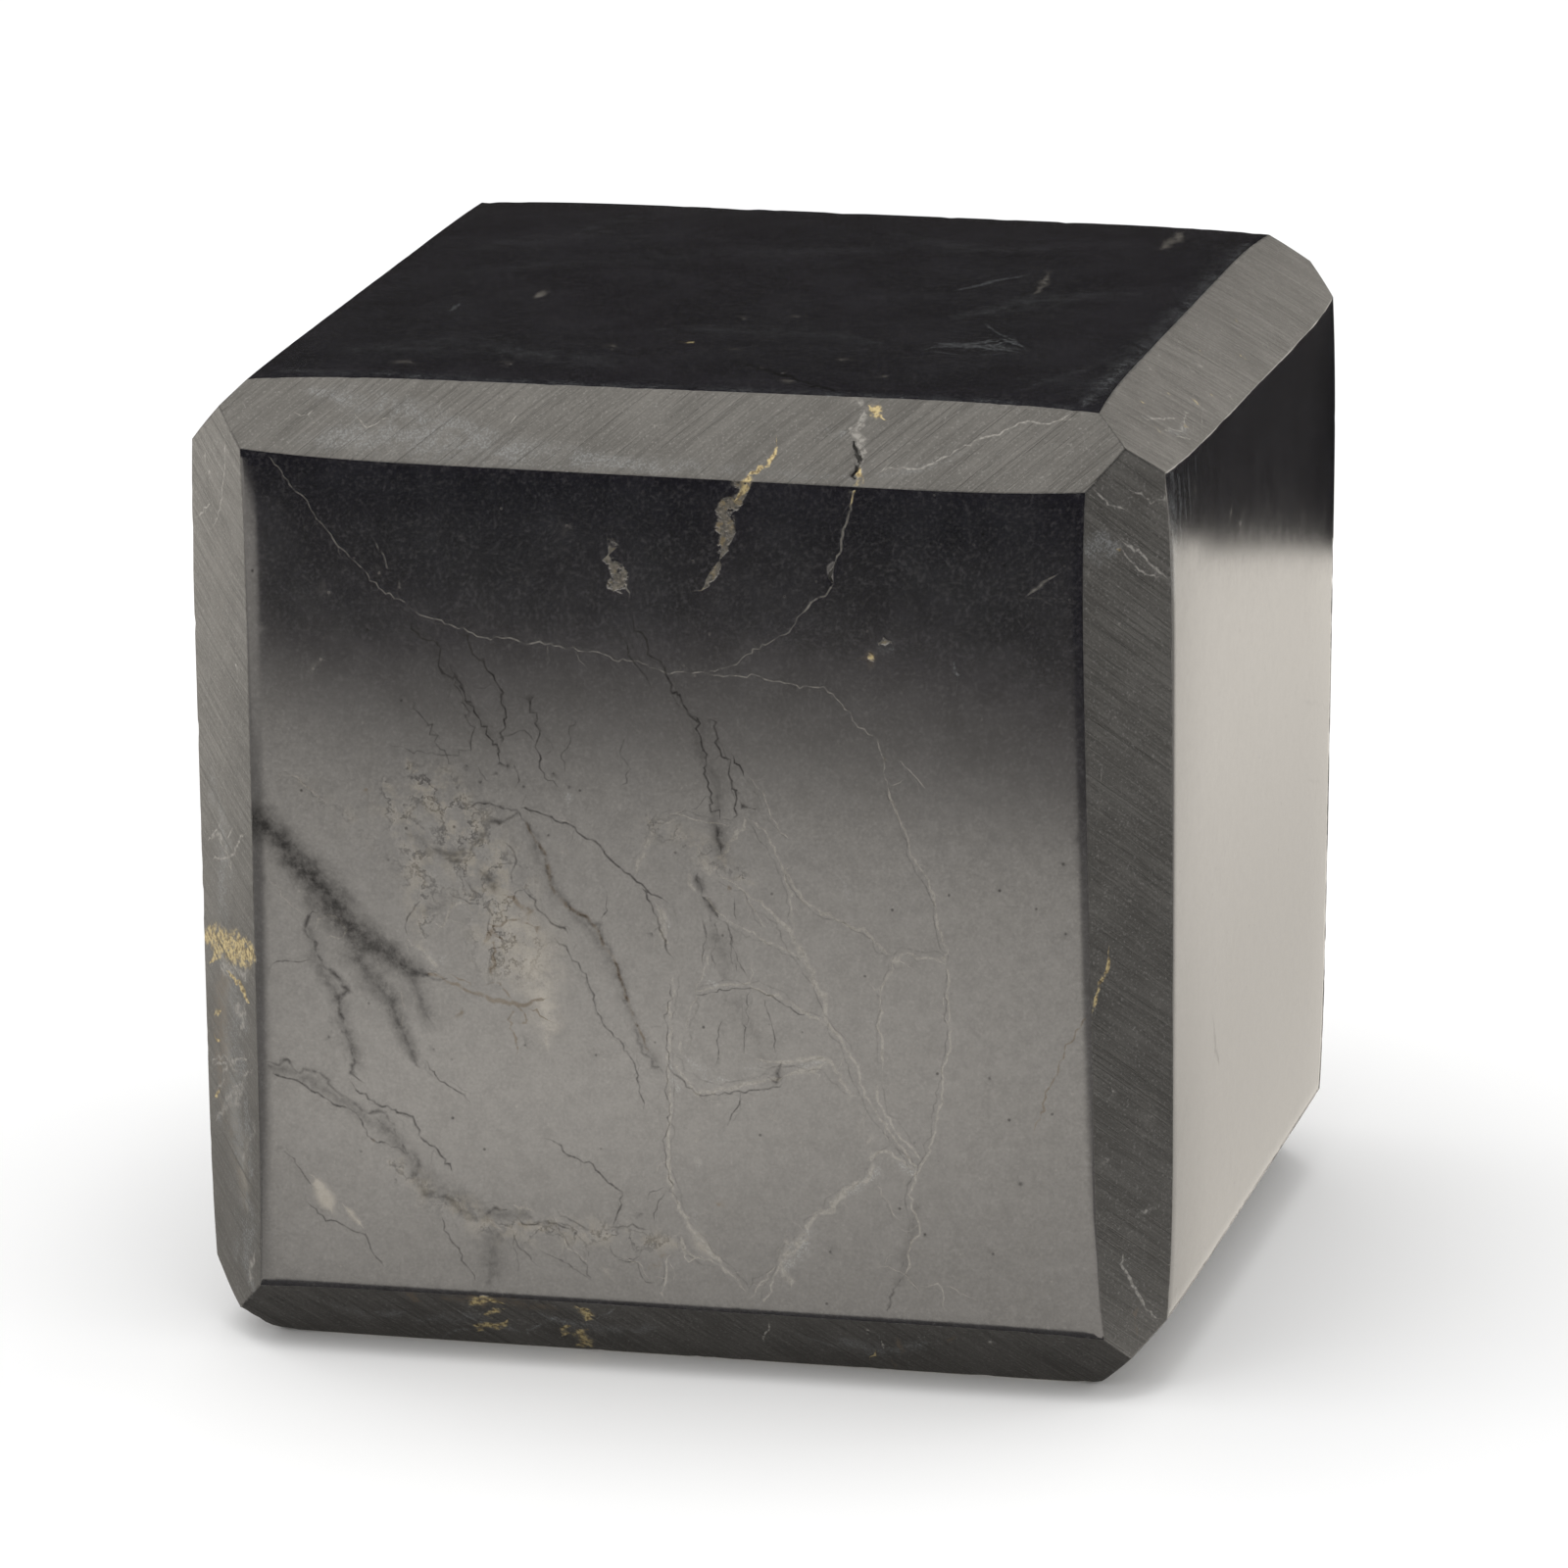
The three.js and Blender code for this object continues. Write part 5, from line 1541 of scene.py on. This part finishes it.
mesh.materials.append(polished_material())
mesh.materials.append(ground_material())
mesh.polygons.foreach_set("material_index", np.array(material_ids, np.int32))
mesh.update()

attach(stone, "root")
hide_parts("shungite_cube")


# Studio

FLOOR_COLOUR = (0.93, 0.93, 0.93, 1)
FLOOR_REACH = 4.0
LIGHT_TINT = (1, 0.942, 0.85)

# Each card in millimetres: its corners, and how much it glows at each of them
CARDS = {
    # The shade card is a painted contact shadow: a dim sheet under the stone that its lower sides mirror
    "shade": (
        [(-25, -29, 0.1), (24, -29, 0.1), (24, 25, 0.1), (-25, 25, 0.1)],
        [0.15] * 4,
    ),
    "overhead": (
        [(-320, -280, 260), (130, -280, 260), (130, 110, 260), (-320, 110, 260)],
        [2.3, 1.05, 1.0, 2.1],
    ),
    "left_card": (
        [(-300, -160, 0), (-300, 240, 0), (-300, 240, 160), (-300, -160, 160)],
        [1.6, 1.2, 0.8, 1.2],
    ),
    "back_right_card": (
        [(60, 300, 20), (330, 220, 20), (330, 220, 260), (60, 300, 260)],
        [1.5] * 4,
    ),
}

# The paper lies just over the floor. Its grid is finer where its glow changes fast: each
# stretch has a start, an end and a step
PAPER_HEIGHT = 0.05
PAPER_STRETCHES_X = ((-300, 301, 12.0), (-84, -30, 4.0), (16, 44, 1.5), (44, 78, 0.5))
PAPER_STRETCHES_Y = ((-276, 277, 12.0), (-176, -116, 3.0), (146, 163, 0.5), (-34, 0, 4.0))

# Far walls, mirrored where no card is
ROOM_REACH = 2500
ROOM_FLOOR = -10
ROOM_GLOW = 0.03


def glow_material(name):
    """A card that shines as much as its glow says at each of its corners."""
    material = bpy.data.materials.new(name)
    material.use_nodes = True
    material.cycles.emission_sampling = "NONE"
    nodes, links = material.node_tree.nodes, material.node_tree.links
    nodes.remove(nodes["Principled BSDF"])
    emission = nodes.new("ShaderNodeEmission")
    glow = nodes.new("ShaderNodeAttribute")
    glow.attribute_name = "glow"
    emission.inputs["Color"].default_value = (*LIGHT_TINT, 1)
    links.new(glow.outputs["Fac"], emission.inputs["Strength"])
    links.new(emission.outputs[0], nodes["Material Output"].inputs["Surface"])
    return material


card_material = glow_material("studio_card")


def card(name, corners, glows, faces=None):
    """A soft card of the studio, seen only where the stone mirrors it. Millimetres."""
    sheet_mesh = bpy.data.meshes.new(name)
    places_m = [tuple(MM * value for value in place) for place in corners]
    sheet_mesh.from_pydata(places_m, [], faces or [tuple(range(len(corners)))])
    layer = sheet_mesh.attributes.new("glow", "FLOAT", "POINT")
    layer.data.foreach_set("value", np.asarray(glows, np.float32))
    sheet_mesh.materials.append(card_material)
    obj = bpy.data.objects.new(name, sheet_mesh)
    bpy.context.scene.collection.objects.link(obj)
    obj.visible_camera = False
    obj.visible_diffuse = False
    obj.visible_shadow = False
    obj.visible_transmission = False
    return obj


def front_fade(x, y):
    """Share of the paper's light that is left towards its soft, slanted front border."""
    front_edge = -138 + 0.07 * (x + 2)
    blur = np.interp(x, [-60, -40, 0], [0.5, 0.9, 1.3])
    right_shift = np.interp(x, [-20, -14, -10, -6], [0, 6, 10, 11]) * np.interp(y, [-150, -124], [1, 0.25])
    inwards = (y - front_edge - right_shift) / blur
    return np.interp(inwards, [-34, -23, -15, -6, -1, 5, 10], [0.06, 0.17, 0.28, 0.38, 0.44, 0.7, 1])


def back_fade(x, y):
    """Share of the paper's light that is left past its back border, which the right face mirrors."""
    back_edge = np.interp(x, [46, 54, 57, 60, 64, 69, 76], [148.5, 147, 147, 149, 152, 156, 156.5])
    return np.interp(y, [back_edge, back_edge + 5], [1, np.interp(x, [50, 70], [0.008, 0.025])])


def glow_ahead(x, y):
    """Light of the paper before the stone, with a warm spot in it and a dimmer part at the right."""
    warm_spot = 0.52 * np.exp(-((x + 20) / 22) ** 2 - ((y + 68) / 30) ** 2)
    ahead = np.interp(y, [-130, -74, -40, -30], [1.65, 1.8, 1.52, 1.4]) + warm_spot
    ahead *= np.interp(x - (28 + 0.05 * (y + 26)), [-3, 4, 25, 60], [1, 0.32, 0.32, 0.2])
    far_left = np.interp(x, [-300, -60], [1.2, 0.6])
    return np.interp(x - left_line(y), [-8, 2], [far_left, ahead])


def glow_behind(x, y):
    """Light of the paper beside and behind the stone."""
    beside = np.interp(x, [-300, -190, -110, -50, -30], [2.6, 2.3, 1.1, 0.6, 0.5])
    behind = np.interp(y, [-10, 40, 148], [1.34, 1.4, 1.42]) * np.interp(x, [38, 50], [0.87, 1])
    behind *= np.interp(x - (31 + 0.385 * (y + 20)), [0, 16], [1, 0.25])
    return np.interp(x, [-30, 0], [beside, behind])


def left_line(y):
    """Where the part of the paper that the front face mirrors ends on the left."""
    return -21 + 0.47 * (y + 24)


def paper_glow(x, y):
    """How bright the paper under the stone and round it is at a place."""
    sheet = np.interp(y, [-30, -10], [glow_ahead(x, y), glow_behind(x, y)])
    sheet = np.maximum(sheet, np.interp(x, [50, 100, 190], [0, 0.5, 1.3]))
    far_left = np.interp(x - left_line(y), [-6, 0], [1.1, 0])
    far_left *= np.interp(y, [-270, -250, -125, -105], [0, 1, 1, 0])
    return max(sheet * front_fade(x, y) * back_fade(x, y), far_left)


def grid_lines(stretches):
    return np.unique(np.concatenate([np.arange(*stretch) for stretch in stretches]))


def paper():
    """The paper as a grid that glows differently from place to place."""
    steps_x, steps_y = grid_lines(PAPER_STRETCHES_X), grid_lines(PAPER_STRETCHES_Y)
    grid = [(x, y) for y in steps_y for x in steps_x]
    glows = [paper_glow(x, y) for x, y in grid]
    corners = [(x, y, PAPER_HEIGHT) for x, y in grid]
    wide = len(steps_x)
    starts = [row * wide + i for row in range(len(steps_y) - 1) for i in range(wide - 1)]
    faces = [(first, first + 1, first + wide + 1, first + wide) for first in starts]
    card("paper", corners, glows, faces)


def dim_room():
    square = [(-1, -1), (1, -1), (1, 1), (-1, 1)]
    heights = (ROOM_FLOOR, ROOM_REACH)
    corners = [(ROOM_REACH * x, ROOM_REACH * y, z) for z in heights for x, y in square]
    walls = [(i, (i + 1) % 4, (i + 1) % 4 + 4, i + 4) for i in range(4)]
    card("dim_room", corners, [ROOM_GLOW] * 8, walls + [(4, 5, 6, 7), (0, 1, 2, 3)])


def floor():
    material = bpy.data.materials.new("studio_floor")
    material.use_nodes = True
    surface = material.node_tree.nodes["Principled BSDF"]
    surface.inputs["Base Color"].default_value = FLOOR_COLOUR
    surface.inputs["Roughness"].default_value = 0.9
    plane_mesh = bpy.data.meshes.new("studio_floor")
    low, high = -FLOOR_REACH, FLOOR_REACH
    corners = [(low, low, 0), (high, low, 0), (high, high, 0), (low, high, 0)]
    plane_mesh.from_pydata(corners, [], [(0, 1, 2, 3)])
    plane_mesh.materials.append(material)
    obj = bpy.data.objects.new("studio_floor", plane_mesh)
    bpy.context.scene.collection.objects.link(obj)
    obj.visible_glossy = False


floor()
paper()
for name, (corners, glows) in CARDS.items():
    card(name, corners, glows)
dim_room()

world = bpy.data.worlds.new("studio")
bpy.context.scene.world = world
world.use_nodes = True
background = world.node_tree.nodes["Background"]
background.inputs["Color"].default_value = (1, 1, 1, 1)
background.inputs["Strength"].default_value = 1.0
world.cycles_visibility.glossy = False
bpy.context.scene.view_settings.view_transform = "Standard"


def soft_light():
    data = bpy.data.lights.new("overhead_light", "AREA")
    data.size = 0.5
    data.energy = 1.2
    obj = bpy.data.objects.new("overhead_light", data)
    obj.location = (-0.1, -0.05, 0.6)
    obj.visible_glossy = False
    bpy.context.scene.collection.objects.link(obj)


soft_light()


# Camera at the photo's place

# Azimuth, elevation and roll are in degrees, lens and sensor in millimetres
CAMERA_PLACE = Vector((116.35, -462.3, 153.96)) * MM
CAMERA_AIM = (14.12, 15.24, -0.77)
CAMERA_LENS = 221.56
CAMERA_SENSOR = 36



def camera_turn():
    """Turn of a camera that looks along -Z, from its azimuth, elevation and roll."""
    azimuth, elevation, roll = (math.radians(value) for value in CAMERA_AIM)
    level = math.cos(elevation)
    right = Vector((math.cos(azimuth), math.sin(azimuth), 0))
    back = Vector((math.sin(azimuth) * level, -math.cos(azimuth) * level, math.sin(elevation)))
    up = back.cross(right)
    rolled_right = right * math.cos(roll) + up * math.sin(roll)
    rolled_up = up * math.cos(roll) - right * math.sin(roll)
    return Matrix((rolled_right, rolled_up, back)).transposed().to_4x4()


camera_data = bpy.data.cameras.new("camera")
camera_data.lens = CAMERA_LENS
camera_data.sensor_width = CAMERA_SENSOR
camera = bpy.data.objects.new("camera", camera_data)
camera.matrix_world = Matrix.Translation(CAMERA_PLACE) @ camera_turn()
bpy.context.scene.collection.objects.link(camera)
bpy.context.scene.camera = camera

bpy.context.view_layer.update()
